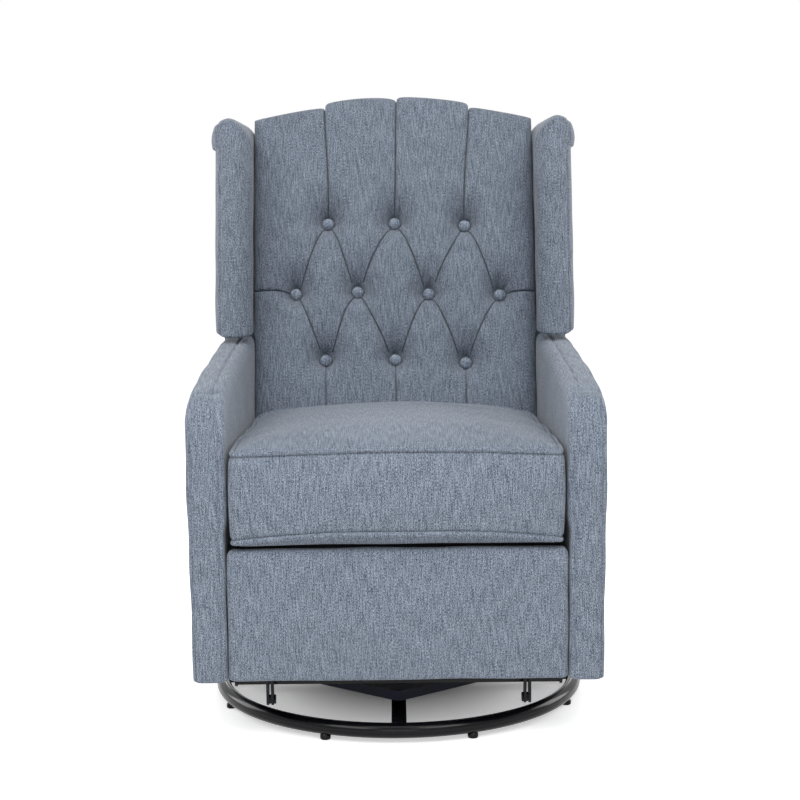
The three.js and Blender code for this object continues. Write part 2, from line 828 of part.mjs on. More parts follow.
// Seat cushion: boxed, with a crowned top, a bulging front and sides drawn in at its seams
function seatCushion() {
  const half_width = cushion_width / 2;
  const half_height = cushion_height / 2;
  const half_length = (cushion_front_reach + back_face_reach) / 2;
  return padded([half_width, half_length, half_height], cushion_edge_radius, [12, 12, 4], (point) => {
    const up_share = (point.z + half_height) / cushion_height;
    const across = point.x / half_width;
    const along = point.y / half_length;
    const seam_share = Math.abs(2 * up_share - 1) ** 3;
    const rear = backFaceReach(cushion_bottom + up_share * cushion_height) - cushion_back_space;
    const bulge = cushion_front_bulge * (1 - (2 * up_share - 1) ** 2) * (1 - across ** 2);
    const front = -cushion_front_reach + cushion_front_bulge - bulge;
    point.x -= Math.sign(point.x) * cushion_draw_in * seam_share * Math.abs(across) ** 4;
    point.y = THREE.MathUtils.lerp(front, rear, (along + 1) / 2);
    point.z += cushion_bottom + half_height;
    point.z += cushion_crown * up_share * (1 - across ** 2) * (1 - along ** 4);
  });
}

// Half width of the back at some rise along its face: wider between the wings than between the arms
function backHalfWidth(rise) {
  const step = riseAt(back_step_height);
  const wide = THREE.MathUtils.clamp((rise - step) / back_edge_radius + 1, 0, 1);
  return THREE.MathUtils.lerp(back_lower_width, back_upper_width, wide) / 2;
}

// Rise of the crest at a place across it: a camel back with a notch where each channel ends
function crestRise(x, notch) {
  const fall = crest_fall * Math.abs((2 * x) / back_upper_width) ** crest_power;
  const ends = [0, -channel_crest_reach, channel_crest_reach];
  const nearest = Math.min(...ends.map((end) => Math.abs(x - end)));
  return riseAt(crest_height - fall) - notch * Math.exp(-((nearest / crease_width) ** 2));
}

// Places of the tufts on the back: three, four and three
const tufts = [];
for (const [height, count] of [[tuft_upper_height, 3], [tuft_middle_height, 4], [tuft_lower_height, 3]]) {
  for (let i = 0; i < count; i++) {
    tufts.push({ x: (i - (count - 1) / 2) * tuft_pitch, rise: riseAt(height), row: height });
  }
}

// Creases between neighbouring tufts, the channels up to the crest, the side pleats and the lower pleats
function creases() {
  const lines = [];
  const line = (x0, rise0, x1, rise1) => {
    lines.push([new THREE.Vector2(x0, rise0), new THREE.Vector2(x1, rise1)]);
  };
  const middle = tufts.filter((tuft) => tuft.row === tuft_middle_height);
  const side = middle[middle.length - 1].x;
  for (const tuft of tufts) {
    if (tuft.row === tuft_middle_height) {
      continue;
    }
    for (const next of middle) {
      if (Math.abs(next.x - tuft.x) < tuft_pitch) {
        line(tuft.x, tuft.rise, next.x, next.rise);
      }
    }
    const crest_x = Math.sign(tuft.x) * channel_crest_reach;
    if (tuft.row === tuft_upper_height) {
      line(tuft.x, tuft.rise, crest_x, riseAt(crest_height));
    } else {
      line(tuft.x, tuft.rise, tuft.x, tuft.rise - lower_pleat_length);
    }
  }
  for (const way of [-1, 1]) {
    line(way * side, riseAt(tuft_middle_height), (way * back_upper_width) / 2, riseAt(tuft_middle_height));
  }
  return lines;
}

// How far the face of the back lies below its fullest at a place on it
function tuftDepth(x, rise, lines) {
  const here = new THREE.Vector2(x, rise);
  let depth = 0;
  for (const tuft of tufts) {
    const away = Math.hypot(x - tuft.x, rise - tuft.rise);
    depth = Math.max(depth, tuft_depth * Math.exp(-away / tuft_spread));
  }
  for (const [from, to] of lines) {
    const span = to.clone().sub(from);
    const share = THREE.MathUtils.clamp(here.clone().sub(from).dot(span) / span.lengthSq(), 0, 1);
    const away = from.clone().addScaledVector(span, share).distanceTo(here);
    depth = Math.max(depth, crease_depth * Math.exp(-((away / crease_width) ** 2)));
  }
  return depth;
}

// Back cushion: a grid over the leaning face, drawn in at the tufts and creases, cut flat at its rear
function backCushion() {
  const lines = creases();
  const column = tuft_pitch / 2 / tuft_columns;
  const columns = 2 * Math.round(back_upper_width / 2 / column);
  const upper_rise = riseAt(tuft_upper_height);
  const row = (upper_rise - riseAt(tuft_lower_height)) / (2 * tuft_columns);
  const lower_rows = Math.round(upper_rise / row);
  const upper_rows = Math.round((riseAt(crest_height) - upper_rise) / row);
  const rows = lower_rows + upper_rows;
  const geometry = new THREE.BoxGeometry(2, 2, 2, columns, 1, rows);
  const place = geometry.attributes.position;
  for (let i = 0; i < place.count; i++) {
    const step = Math.round(((place.getZ(i) + 1) / 2) * rows);
    const across = place.getX(i);
    const wide = across * (columns / 2) * column;
    const crest = crestRise(wide, crest_notch);
    const upper_share = (step - lower_rows) / upper_rows;
    const upper = THREE.MathUtils.lerp(upper_rise, crest, upper_share);
    const rise = step <= lower_rows ? (step / lower_rows) * upper_rise : upper;
    const half = backHalfWidth(rise);
    const x = Math.abs(across) < 1 ? THREE.MathUtils.clamp(wide, -half, half) : across * half;
    const edge = Math.min(half - Math.abs(x), rise, crest - rise);
    const round = Math.max(0, 1 - edge / back_edge_radius);
    const roll = back_edge_radius * (1 - Math.sqrt(1 - Math.min(1, round) ** 2));
    const front = Math.min(tuftDepth(x, rise, lines) + roll, back_cushion_depth - overrun);
    const depth = place.getY(i) < 0 ? front : back_cushion_depth + overrun;
    const point = onBack(x, rise, depth);
    place.setXYZ(i, point.x, point.y, point.z);
  }
  const behind = new THREE.BoxGeometry(inside_width, back_cushion_depth, crest_height * 2);
  behind.translate(0, back_cushion_depth / 2, 0);
  behind.rotateX(-back_lean);
  const corner = onBack(0, 0, back_cushion_depth);
  behind.translate(corner.x, corner.y, corner.z);
  const pockets = tufts.map((tuft) => {
    const length = tuft_depth * 2;
    const radius = button_radius + pin_gap;
    const pocket = new THREE.CylinderGeometry(radius, radius, length, button_steps);
    pocket.rotateX(Math.PI - back_lean);
    const middle = onBack(tuft.x, tuft.rise, tuft_depth - length / 2);
    pocket.translate(middle.x, middle.y, middle.z);
    return solid(pocket);
  });
  return cut(solid(geometry), solid(behind), ...pockets);
}

// Covered button: a low dome that seats in its tuft
function button(tuft) {
  const profile = [[0, 0], [button_radius, 0], [button_radius, button_rim]];
  const dome_steps = 3;
  for (let i = 1; i < dome_steps; i++) {
    const angle = (i / dome_steps) * (Math.PI / 2);
    const height = button_rim + (button_height - button_rim) * Math.sin(angle);
    profile.push([button_radius * Math.cos(angle), height]);
  }
  profile.push([0, button_height]);
  const geometry = new THREE.LatheGeometry(profile.map(([x, y]) => new THREE.Vector2(x, y)), button_steps);
  geometry.rotateX(Math.PI - back_lean);
  const seat = onBack(tuft.x, tuft.rise, tuft_depth - seat_gap);
  geometry.translate(seat.x, seat.y, seat.z);
  return solid(geometry);
}

// Outline of the back in its own plane, drawn in by an inset at its crest
function backOutline(inset) {
  const lower = back_lower_width / 2;
  const upper = back_upper_width / 2;
  const step = riseAt(back_step_height);
  const points = [
    [-lower, 0],
    [lower, 0],
    [lower, step - back_edge_radius],
    [upper, step],
  ];
  const crest_steps = 14;
  for (let i = 0; i <= crest_steps; i++) {
    const x = upper * (1 - (2 * i) / crest_steps);
    points.push([x, crestRise(x, 0) - inset]);
  }
  points.push([-upper, step], [-lower, step - back_edge_radius]);
  return points.map(([x, rise]) => new THREE.Vector2(x, rise));
}

// Lays a geometry made in X, rise and depth onto the leaning back
function laidOnBack(geometry, depth) {
  geometry.scale(1, 1, -1);
  const index = mergeVertices(geometry);
  const turned_over = index.index.array;
  for (let i = 0; i < turned_over.length; i += 3) {
    [turned_over[i], turned_over[i + 1]] = [turned_over[i + 1], turned_over[i]];
  }
  index.translate(0, 0, -depth);
  index.rotateX(Math.PI / 2 - back_lean);
  const foot = onBack(0, 0, 0);
  index.translate(foot.x, foot.y, foot.z);
  return solid(index);
}

// Board of the back: plywood with a hole for the cord of each tuft
function backBoard() {
  const holes = tufts.map((tuft) => [tuft.x, tuft.rise, tuft_hole_radius]);
  const geometry = extruded(backOutline(back_board_inset), back_board_thickness, holes);
  return laidOnBack(geometry, back_cushion_depth + seat_gap);
}

// Outside back: a padded panel with rounded edges
function backPanel() {
  const shape = new THREE.Shape(backOutline(back_board_inset / 2));
  const geometry = new THREE.ExtrudeGeometry(shape, {
    depth: back_panel_depth - 2 * back_panel_round,
    bevelThickness: back_panel_round,
    bevelSize: back_panel_round,
    bevelOffset: -back_panel_round,
    bevelSegments: 2,
  });
  geometry.deleteAttribute('normal');
  geometry.deleteAttribute('uv');
  const front = back_cushion_depth + back_board_thickness + 2 * seat_gap + back_panel_round;
  return laidOnBack(geometry, front);
}

// Steel strap from the hinge pin to the edge of the board of the back
function backBracket() {
  const inner = back_lower_width / 2 + back_bracket_space;
  const outer = inner + steel;
  const board_depth = back_cushion_depth + back_board_thickness / 2;
  const at = (rise) => {
    const point = onBack(0, rise, board_depth);
    return [point.y, point.z, back_strap_radius];
  };
  const hinge = [hinge_reach, hinge_height, hinge_ear_radius];
  const neck = upright(around([hinge, at(back_strap_foot)]), inner, outer);
  const strap = upright(around([at(back_strap_foot), at(back_strap_length)]), inner, outer);
  const pin = rodAcross(outer - overrun, rail_outer - seat_gap, hinge_reach, hinge_height, hinge_pin_radius);
  return joined(neck, strap, pin);
}

// Wing: a padded cheek beside the back, above the arm, with a flared scroll at its top
function wing() {
  const half_thickness = wing_thickness / 2;
  const half_height = (wing_top_height - wing_foot_height) / 2;
  const total_depth = back_cushion_depth + back_board_thickness + back_panel_depth + 2 * seat_gap;
  const rear_offset = total_depth / Math.cos(back_lean);
  const half_length = (backFaceReach(wing_foot_height) + rear_offset - wing_front_foot_reach) / 2;
  const inner = back_upper_width / 2 + seat_gap;
  return padded([half_thickness, half_length, half_height], wing_edge_radius, [4, 8, 10], (point) => {
    const up_share = (point.z + half_height) / (2 * half_height);
    const along_share = (point.y + half_length) / (2 * half_length);
    const height = THREE.MathUtils.lerp(wing_foot_height, wing_top_height, up_share);
    const front = THREE.MathUtils.lerp(wing_front_foot_reach, wing_front_top_reach, up_share);
    const rear = backFaceReach(height) + rear_offset;
    const outer_share = (point.x + half_thickness) / wing_thickness;
    point.y = THREE.MathUtils.lerp(front, rear, along_share);
    const arch = eased(point.y, wing_front_foot_reach, wing_front_foot_reach + wing_foot_run);
    point.z = height + wing_foot_rise * arch * (1 - up_share);
    point.x += inner + half_thickness;
    const scroll = eased(height, wing_top_height - wing_scroll_height, wing_top_height);
    point.x += wing_scroll_flare * scroll * outer_share;
  });
}

// Footrest: a padded panel on a board, and on its rear a steel bracket at each side for the levers
function footrestPad() {
  const half_height = (footrest_top_height - footrest_foot_height) / 2;
  const half_depth = footrest_pad_depth / 2;
  return padded([footrest_width / 2, half_depth, half_height], footrest_edge_radius, [8, 2, 6], (point) => {
    point.y += half_depth - footrest_front_reach;
    point.z += footrest_foot_height + half_height;
  });
}

const footrest_board_front = -footrest_front_reach + footrest_pad_depth + seat_gap;
const footrest_board_rear = footrest_board_front + footrest_board_thickness;

function footrestBoard() {
  const half = footrest_width / 2 - footrest_board_inset;
  return block(-half, half, footrest_board_front, footrest_board_rear,
    footrest_foot_height + footrest_board_inset, footrest_top_height - footrest_board_inset);
}

function footrestBracket() {
  const [inner, outer] = leverPlane(4);
  const front = footrest_board_rear + seat_gap;
  const r = bracket_flange_thickness;
  const high = upper_foot_height + lever_radius;
  const low = lower_foot_height - lever_radius;
  const feet = [[...upper_foot, lever_radius], [...lower_foot, lever_radius]];
  const web = [...feet, [front + r, high, r], [front + r, low, r]];
  const flange = block(outer - bracket_flange_width, outer, front, front + bracket_flange_thickness,
    low - r, high + r);
  const [shin_inner, shin_outer] = leverPlane(1);
  const [brace_inner, brace_outer] = leverPlane(3);
  const upper = rivet(outer, shin_inner, shin_outer, upper_foot, lever_rivet_radius, lever_head_radius);
  const lower_head = lever_head_radius + open_pivot_play / 2;
  const lower = rivet(outer, brace_inner, brace_outer, lower_foot, lever_rivet_radius, lower_head);
  const round_collar = rodAcross(outer + lever_space, shin_inner, ...upper_foot, lever_head_radius + overrun);
  const collar_free = cut(upper, round_collar);
  const shank = rodAcross(outer, shin_outer, ...upper_foot, lever_rivet_radius);
  return joined(upright(around(web), inner, outer), flange, joined(collar_free, shank), lower);
}

const lever_hole = lever_rivet_radius + pin_gap;
const open_hole = lever_rivet_radius + open_pivot_play;

// Front lever: from the seat plate down to the front knee
function frontLever() {
  const [inner, outer] = leverPlane(0);
  const [shin_inner, shin_outer] = leverPlane(1);
  const body = link([front_root, front_knee], inner, outer, lever_radius, [lever_hole, 0]);
  const knee = rivet(inner, shin_outer, shin_inner, front_knee, lever_rivet_radius, lever_head_radius);
  return joined(body, knee);
}

// Shin: from the front knee, across the rear lever, up to the footrest
function shinLever() {
  const [inner, outer] = leverPlane(1);
  const [rear_inner, rear_outer] = leverPlane(2);
  const holes = [lever_hole, 0, lever_hole];
  const body = link([front_knee, crossing, upper_foot], inner, outer, lever_radius, holes);
  const head = lever_head_radius + open_pivot_play;
  return joined(body, rivet(inner, rear_outer, rear_inner, crossing, lever_rivet_radius, head));
}

// Rear lever: from the seat plate, across the shin, down to the rear knee
function rearLever() {
  const [inner, outer] = leverPlane(2);
  const [brace_inner, brace_outer] = leverPlane(3);
  const body = link([rear_root, crossing, rear_knee], inner, outer, lever_radius, [lever_hole, open_hole, 0]);
  const knee = rivet(inner, brace_outer, brace_inner, rear_knee, lever_rivet_radius, lever_head_radius);
  return joined(body, knee);
}

// Brace: from the rear knee up to the footrest
function braceLever() {
  const [inner, outer] = leverPlane(3);
  return link([rear_knee, lower_foot], inner, outer, lever_radius, [lever_hole, open_hole]);
}

// Base and bearing
add('base_ring', baseRing(), black_steel);
add('base_cross', baseCross(), black_steel);
add('lower_race', race(lower_race_top, lower_race_bottom), zinc_steel);
add('ball_cage', ballCage(), zinc_steel);
add('kingpin', kingpin(), zinc_steel);
add('upper_race', race(upper_race_bottom, upper_race_top), zinc_steel);

// Swivel frame and glide
add('swivel_plate', swivelPlate(), dark_steel);
addPair('glider_bracket', gliderBracket(), dark_steel);
addPair('front_glide_link', glideLink(-1), dark_steel);
addPair('rear_glide_link', glideLink(1), dark_steel);

// Carriage
addPair('side_rail', sideRail(), dark_steel);
add('front_cross_tube', crossTube(-cross_tube_reach), dark_steel);
add('rear_cross_tube', crossTube(cross_tube_reach), dark_steel);
add('front_stretcher', stretcher(), black_steel);
addPair('arm', arm(), fabric);
add('rear_apron', apron(), fabric);

// Seat
addPair('front_seat_link', seatLink(0), dark_steel);
addPair('rear_seat_link', seatLink(1), dark_steel);
addPair('seat_plate', seatPlate(), dark_steel);
add('seat_frame', seatFrame(), plywood);
add('seat_cushion', seatCushion(), fabric);

// Back
addPair('back_bracket', backBracket(), dark_steel);
add('back_board', backBoard(), plywood);
add('back_cushion', backCushion(), fabric);
add('back_panel', backPanel(), fabric);
addPair('wing', wing(), fabric);
tufts.forEach((tuft, i) => add(`tuft_button_${i + 1}`, button(tuft), button_fabric));

// Footrest
addPair('front_lever', frontLever(), dark_steel);
addPair('shin_lever', shinLever(), dark_steel);
addPair('rear_lever', rearLever(), dark_steel);
addPair('brace_lever', braceLever(), dark_steel);
addPair('footrest_bracket', footrestBracket(), dark_steel);
add('footrest_board', footrestBoard(), plywood);
add('footrest_pad', footrestPad(), fabric);

// Moves the chair so that the middle of its bounding box is over the origin
const bounds = new THREE.Box3().setFromObject(chair);
chair.position.y = -(bounds.min.y + bounds.max.y) / 2;
chair.updateMatrixWorld(true);

const swivel_glider_recliner = new THREE.Group();
swivel_glider_recliner.add(chair);

export default swivel_glider_recliner;
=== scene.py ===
"""Swivel glider recliner: its upholstery, finishes and stage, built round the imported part"""

import json
import math

import bmesh
import bpy
import numpy as np
from mathutils import Matrix, Vector
from mathutils.bvhtree import BVHTree


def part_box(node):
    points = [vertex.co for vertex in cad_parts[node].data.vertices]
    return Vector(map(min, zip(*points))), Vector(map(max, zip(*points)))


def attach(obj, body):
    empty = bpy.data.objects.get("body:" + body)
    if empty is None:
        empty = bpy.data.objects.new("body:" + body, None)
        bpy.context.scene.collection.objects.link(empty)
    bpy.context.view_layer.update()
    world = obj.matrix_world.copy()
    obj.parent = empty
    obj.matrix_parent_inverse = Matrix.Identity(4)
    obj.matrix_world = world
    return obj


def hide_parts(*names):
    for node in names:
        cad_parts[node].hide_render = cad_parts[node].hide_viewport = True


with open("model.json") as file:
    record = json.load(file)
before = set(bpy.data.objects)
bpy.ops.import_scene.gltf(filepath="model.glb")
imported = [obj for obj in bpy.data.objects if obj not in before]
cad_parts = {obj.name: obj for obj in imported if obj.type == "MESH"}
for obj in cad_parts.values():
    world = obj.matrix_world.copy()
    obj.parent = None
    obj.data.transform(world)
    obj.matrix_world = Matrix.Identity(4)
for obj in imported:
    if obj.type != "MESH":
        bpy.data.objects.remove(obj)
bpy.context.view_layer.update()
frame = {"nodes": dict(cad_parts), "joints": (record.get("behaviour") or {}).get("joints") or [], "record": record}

bl_info = {
    "name": "Swivel glider recliner",
    "version": (1, 0, 0),
    "blender": (4, 5, 0),
    "location": "3D View > Sidebar > Recliner",
    "description": "Builds the upholstery, finishes and stage of a swivel glider recliner",
    "category": "Add Mesh",
}

WEAVE_MAP = "weave"
WELD_DISTANCE = 1e-5
TURN = 2 * math.pi

# Places of the part, in metres, from its joints and nodes
JOINTS = {joint["name"]: Vector(joint["pos_m"]) for joint in frame["joints"]}
AXIS_Y = JOINTS["swivel"].y
CUSHION_FOOT, CUSHION_HALF_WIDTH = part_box("seat_cushion")[0].z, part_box("seat_cushion")[1].x
ARM_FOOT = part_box("right_arm")[0].z
WING_INNER_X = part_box("right_wing")[0].x

# The leaning back: its face starts at a foot and leans to the rear
BACK_LEAN = math.radians(16)
BACK_FOOT_REACH = 0.1515
BACK_FOOT_HEIGHT = 0.370
BACK_LOWER_WIDTH = 0.545
BACK_UPPER_WIDTH = 0.550
BACK_STEP_HEIGHT = 0.648
BACK_DEPTH = 0.095
BACK_BOARD = 0.012
BACK_PANEL = 0.020
BACK_EDGE = 0.022
CREST_HEIGHT = 1.096
CREST_FALL = 0.046
CREST_POWER = 1.9

# Seat cushion: reaches are measured from the swivel axis
CUSHION_SIDE = 0.154
CUSHION_REACH = 0.358
CUSHION_BACK_SPACE = 0.004
SWELL_FRAMES = 20

# Arms: reaches go to the rear from the swivel axis, heights up from the floor
ARM_INNER_X = 0.276
ARM_WIDTH = 0.059
ARM_FRONT, ARM_REAR = -0.350, 0.280
ARM_NOSE, ARM_BROW, ARM_TAIL = 0.515, 0.575, 0.628
ARM_BROW_ROUND, ARM_TAIL_ROUND = 0.050, 0.030
ARM_RISE_POWER = 0.62

# Wings
WING_HALVES = (0.031, 0.11, 0.205)
WING_EDGES = (0.029, 0.034, 0.012)
WING_FOOT, WING_TOP = 0.628, 1.044
HEAD_X, HEAD_HEIGHT = 0.312, 1.013


def srgb(red, green, blue):
    """Linear colour of three screen values from 0 to 255"""
    shares = [value / 255 for value in (red, green, blue)]
    return tuple(s / 12.92 if s <= 0.04045 else ((s + 0.055) / 1.055) ** 2.4 for s in shares)


def eased(value, start, end):
    """Share of the way from start to end, eased at both ends"""
    share = np.clip((value - start) / (end - start), 0, 1)
    return share * share * (3 - 2 * share)


def lerp(start, end, share):
    return start + (end - start) * share


def arc_fall(share):
    """How far a quarter circle has fallen at a share of its way, as a share of its radius"""
    return 1 - np.sqrt(1 - np.clip(share, 0, 1) ** 2)


def columns(*values):
    """Points from their places along each axis"""
    return np.stack(np.broadcast_arrays(*values), axis=-1)


# Settings


def measure(name, description, default, unit="LENGTH"):
    return bpy.props.FloatProperty(name=name, description=description, unit=unit, default=default)


def shade(name, description, *screen):
    return bpy.props.FloatVectorProperty(
        name=name, description=description, subtype="COLOR", default=srgb(*screen)
    )


class FabricSettings(bpy.types.PropertyGroup):
    """Heathered upholstery cloth"""

    mean: shade("Cloth", "Colour of most of the yarn", 112, 122, 137)
    dark: shade("Dark yarn", "Colour of the dark flecks", 52, 62, 78)
    light: shade("Light yarn", "Colour of the light flecks", 176, 187, 201)
    slub_width: measure("Slub width", "Width of a slub in the yarn", 0.0011)
    slub_length: measure("Slub length", "Length of a slub in the yarn", 0.030)
    yarn: measure("Yarn", "Width of a yarn", 0.0008)


class CushionSettings(bpy.types.PropertyGroup):
    """Loose seat cushion"""

    edge: measure("Edge", "Radius of its edges under the piping", 0.014)
    crown: measure("Crown", "Rise of the middle of its top", 0.026)
    bulge: measure("Bulge", "How far its front stands out at the middle", 0.0095)
    bow: measure("Bow", "Rise of the lower front piping at the middle", 0.020)
    piping: measure("Piping", "Radius of the piping", 0.0044)


class TuftSettings(bpy.types.PropertyGroup):
    """Tufted inside back"""

    pitch: measure("Pitch", "Distance between buttons across the back", 0.131)
    upper: measure("Upper row", "Height of the upper row", 0.850)
    middle: measure("Middle row", "Height of the middle row", 0.717)
    lower: measure("Lower row", "Height of the lower row", 0.587)
    depth: measure("Depth", "Depth of a tuft below the fullest face", 0.050)
    fullness: measure("Fullness", "Depth of the soft valley along a pleat", 0.005)
    fold: measure("Fold", "Depth of the narrow fold in a pleat", 0.0095)
    button: measure("Button", "Radius of a covered button", 0.0113)


class BaseSettings(bpy.types.PropertyGroup):
    """Ring base"""

    ring: measure("Ring", "Radius of the ring's centre line", 0.318)
    tube: measure("Tube", "Radius of the ring's tube", 0.0127)
    foot: measure("Foot", "Radius of a foot", 0.009)
    feet: bpy.props.IntProperty(name="Feet", description="Number of feet", default=8)


class StageSettings(bpy.types.PropertyGroup):
    """Camera"""

    distance: measure("Distance", "Camera to the swivel axis", 2.815)
    height: measure("Height", "Height of the camera", 0.8586)
    pitch: measure("Pitch", "How far the camera looks down", math.radians(6.72), "ROTATION")
    roll: measure("Roll", "Turn of the camera about its view", math.radians(-0.59), "ROTATION")
    lens: measure("Lens", "Focal length on a 36 mm sensor, in millimetres", 71.0, "NONE")
    shift: measure("Shift", "Sideways shift, as a share of the frame", 0.0053, "NONE")


# Meshes and their points


def grid_block(counts):
    """A cube from -1 to 1 whose faces are grids"""
    bm = bmesh.new()
    bmesh.ops.create_cube(bm, size=2)
    for axis, count in enumerate(counts):
        along = [e for e in bm.edges if abs(e.verts[0].co[axis] - e.verts[1].co[axis]) > 1]
        bmesh.ops.subdivide_edges(bm, edges=along, cuts=count - 1, use_grid_fill=True)
    return bm


def spun(bm, geometry, steps):
    """Turns a profile once round Z into a closed surface"""
    bmesh.ops.spin(
        bm, geom=geometry, cent=(0, 0, 0), axis=(0, 0, 1), angle=TURN, steps=steps, use_merge=True
    )
    bmesh.ops.remove_doubles(bm, verts=bm.verts, dist=WELD_DISTANCE)
    bmesh.ops.recalc_face_normals(bm, faces=bm.faces)
    return bm


def turned(profile, steps):
    """A turned body, from places out from the axis and up along it"""
    bm = bmesh.new()
    line = [bm.verts.new((out, 0, up)) for out, up in profile]
    edges = [bm.edges.new(pair) for pair in zip(line[:-1], line[1:])]
    return spun(bm, line + edges, steps)


def linked(name, data):
    """A new object in the scene that holds some data"""
    holder = bpy.data.objects.new(name, data)
    bpy.context.scene.collection.objects.link(holder)
    return holder


def object_of(mesh, name):
    """A smooth-shaded object that holds a mesh"""
    mesh.name = name
    mesh.shade_smooth()
    return linked(name, mesh)


def piece_from(bm, name):
    """An object made from a bmesh, which is freed"""
    mesh = bpy.data.meshes.new(name)
    bm.to_mesh(mesh)
    bm.free()
    return object_of(mesh, name)


def values_of(elements, what, kind=float, width=3):
    """One value of each element of a mesh"""
    values = np.empty(len(elements) * width, kind)
    elements.foreach_get(what, values)
    return values.reshape(-1, width)


def points_of(piece, what="co"):
    """Places, or the normals, of a piece's vertices"""
    return values_of(piece.data.vertices, what)


def set_points(piece, points):
    piece.data.vertices.foreach_set("co", points.ravel())
    piece.data.update()


def padded_block(name, halves, radii, foot, shape, counts):
    """A block with rounded edges, sharper round its foot, whose points a function then places"""
    piece = piece_from(grid_block(counts), name)
    size = np.array(halves)
    points = points_of(piece) * size
    radius = np.tile(radii, (len(points), 1))
    radius[points[:, 2] < 0, 2] = foot
    inner = np.clip(points, radius - size, size - radius)
    away = (points - inner) / radius
    away /= np.linalg.norm(away, axis=1, keepdims=True)
    set_points(piece, shape(inner + away * radius))
    return piece


def mirrored(piece, name):
    """The same piece on the other side of the chair"""
    bm = bmesh.new()
    bm.from_mesh(piece.data)
    bmesh.ops.scale(bm, vec=(-1, 1, 1), verts=bm.verts)
    bmesh.ops.reverse_faces(bm, faces=bm.faces)
    return piece_from(bm, name)


def shown(holder):
    """An object as its modifiers or its curve make it"""
    bpy.context.view_layer.update()
    return holder.evaluated_get(bpy.context.evaluated_depsgraph_get())


def bake_modifiers(piece):
    """Makes the mesh that a piece's modifiers give its own"""
    mesh = bpy.data.meshes.new_from_object(shown(piece))
    piece.modifiers.clear()
    piece.data = mesh
    mesh.shade_smooth()


# Paths on the pieces, and cloth pressed or stuffed along them


def spaced(path, gap):
    """A closed path with its long stretches filled with points"""
    filled = []
    for start, end in zip(path, np.roll(path, -1, axis=0)):
        count = max(1, int(np.linalg.norm(end - start) / gap))
        filled += [lerp(start, end, step / count) for step in range(count)]
    return np.array(filled)


def border(wide, high, gap=0.01):
    """A closed path round an upright rectangle, as places across and up"""
    return spaced(np.array([(-wide, -high), (wide, -high), (wide, high), (-wide, high)]), gap).T


def loop_round(half_x, front, rear, corner, height):
    """A closed level path round a rectangle with round corners"""
    steps, gap = 8, 0.012
    path = []
    corners = ((half_x, rear), (-half_x, rear), (-half_x, front), (half_x, front))
    for number, (x, y) in enumerate(corners):
        centre_x, centre_y = x - math.copysign(corner, x), y + (corner if y == front else -corner)
        for step in range(steps + 1):
            angle = (number + step / steps) * TURN / 4
            path.append((centre_x + corner * math.cos(angle), centre_y + corner * math.sin(angle), height))
    return spaced(np.array(path), gap)


def beside(points, start, end):
    """Share of the way along a segment that each point is beside, and its distance from there"""
    span = end - start
    share = np.clip((points - start) @ span / (span @ span), 0, 1)
    return share, np.linalg.norm(points - start - share[:, None] * span, axis=1)


def distance_to(points, path):
    """Distance of each point from a path"""
    best = np.full(len(points), np.inf)
    for start, end in zip(path[:-1], path[1:]):
        best = np.minimum(best, beside(points, start, end)[1])
    return best


def sew(piece, path, depth, width, closed=False):
    """Presses a seam into a piece along a path"""
    points = points_of(piece)
    path = np.vstack([path, path[:1]]) if closed else path
    pressed = depth * np.exp(-((distance_to(points, path) / width) ** 2))
    set_points(piece, points - points_of(piece, "normal") * pressed[:, None])


def ripple(points, amount, length, seed):
    """Gentle unevenness of stuffed cloth at each point, from a few waves in set directions"""
    waves, shortest, longest = 9, 0.6, 1.6
    draw = np.random.default_rng(seed)
    height = np.zeros(len(points))
    for _ in range(waves):
        way = draw.normal(size=3)
        way *= TURN / (length * draw.uniform(shortest, longest) * np.linalg.norm(way))
        height += np.sin(points @ way + draw.uniform(0, TURN))
    return amount * height / math.sqrt(waves)


def rumple(piece, amount, length, seed):
    """Moves a piece's points in and out a little"""
    points = points_of(piece)
    uneven = ripple(points, amount, length, seed)
    set_points(piece, points + points_of(piece, "normal") * uneven[:, None])


def laid_on(piece, path, proud=0.0):
    """A path moved onto the surface of a piece and standing proud of it"""
    bpy.context.view_layer.update()
    surface = BVHTree.FromObject(piece, bpy.context.evaluated_depsgraph_get())
    laid = []
    for place in path:
        found, normal, _, _ = surface.find_nearest(Vector(place))
        laid.append(np.array(found + normal * proud))
    return np.array(laid)


def cord(name, path, radius):
    """A closed round cord along a path"""
    curve = bpy.data.curves.new(name, "CURVE")
    curve.dimensions = "3D"
    curve.bevel_depth = radius
    curve.bevel_resolution = 3
    spline = curve.splines.new("POLY")
    spline.points.add(len(path) - 1)
    for point, place in zip(spline.points, path):
        point.co = (*place, 1)
    spline.use_cyclic_u = True
    holder = linked(name, curve)
    mesh = bpy.data.meshes.new_from_object(shown(holder))
    bpy.data.objects.remove(holder)
    return object_of(mesh, name)


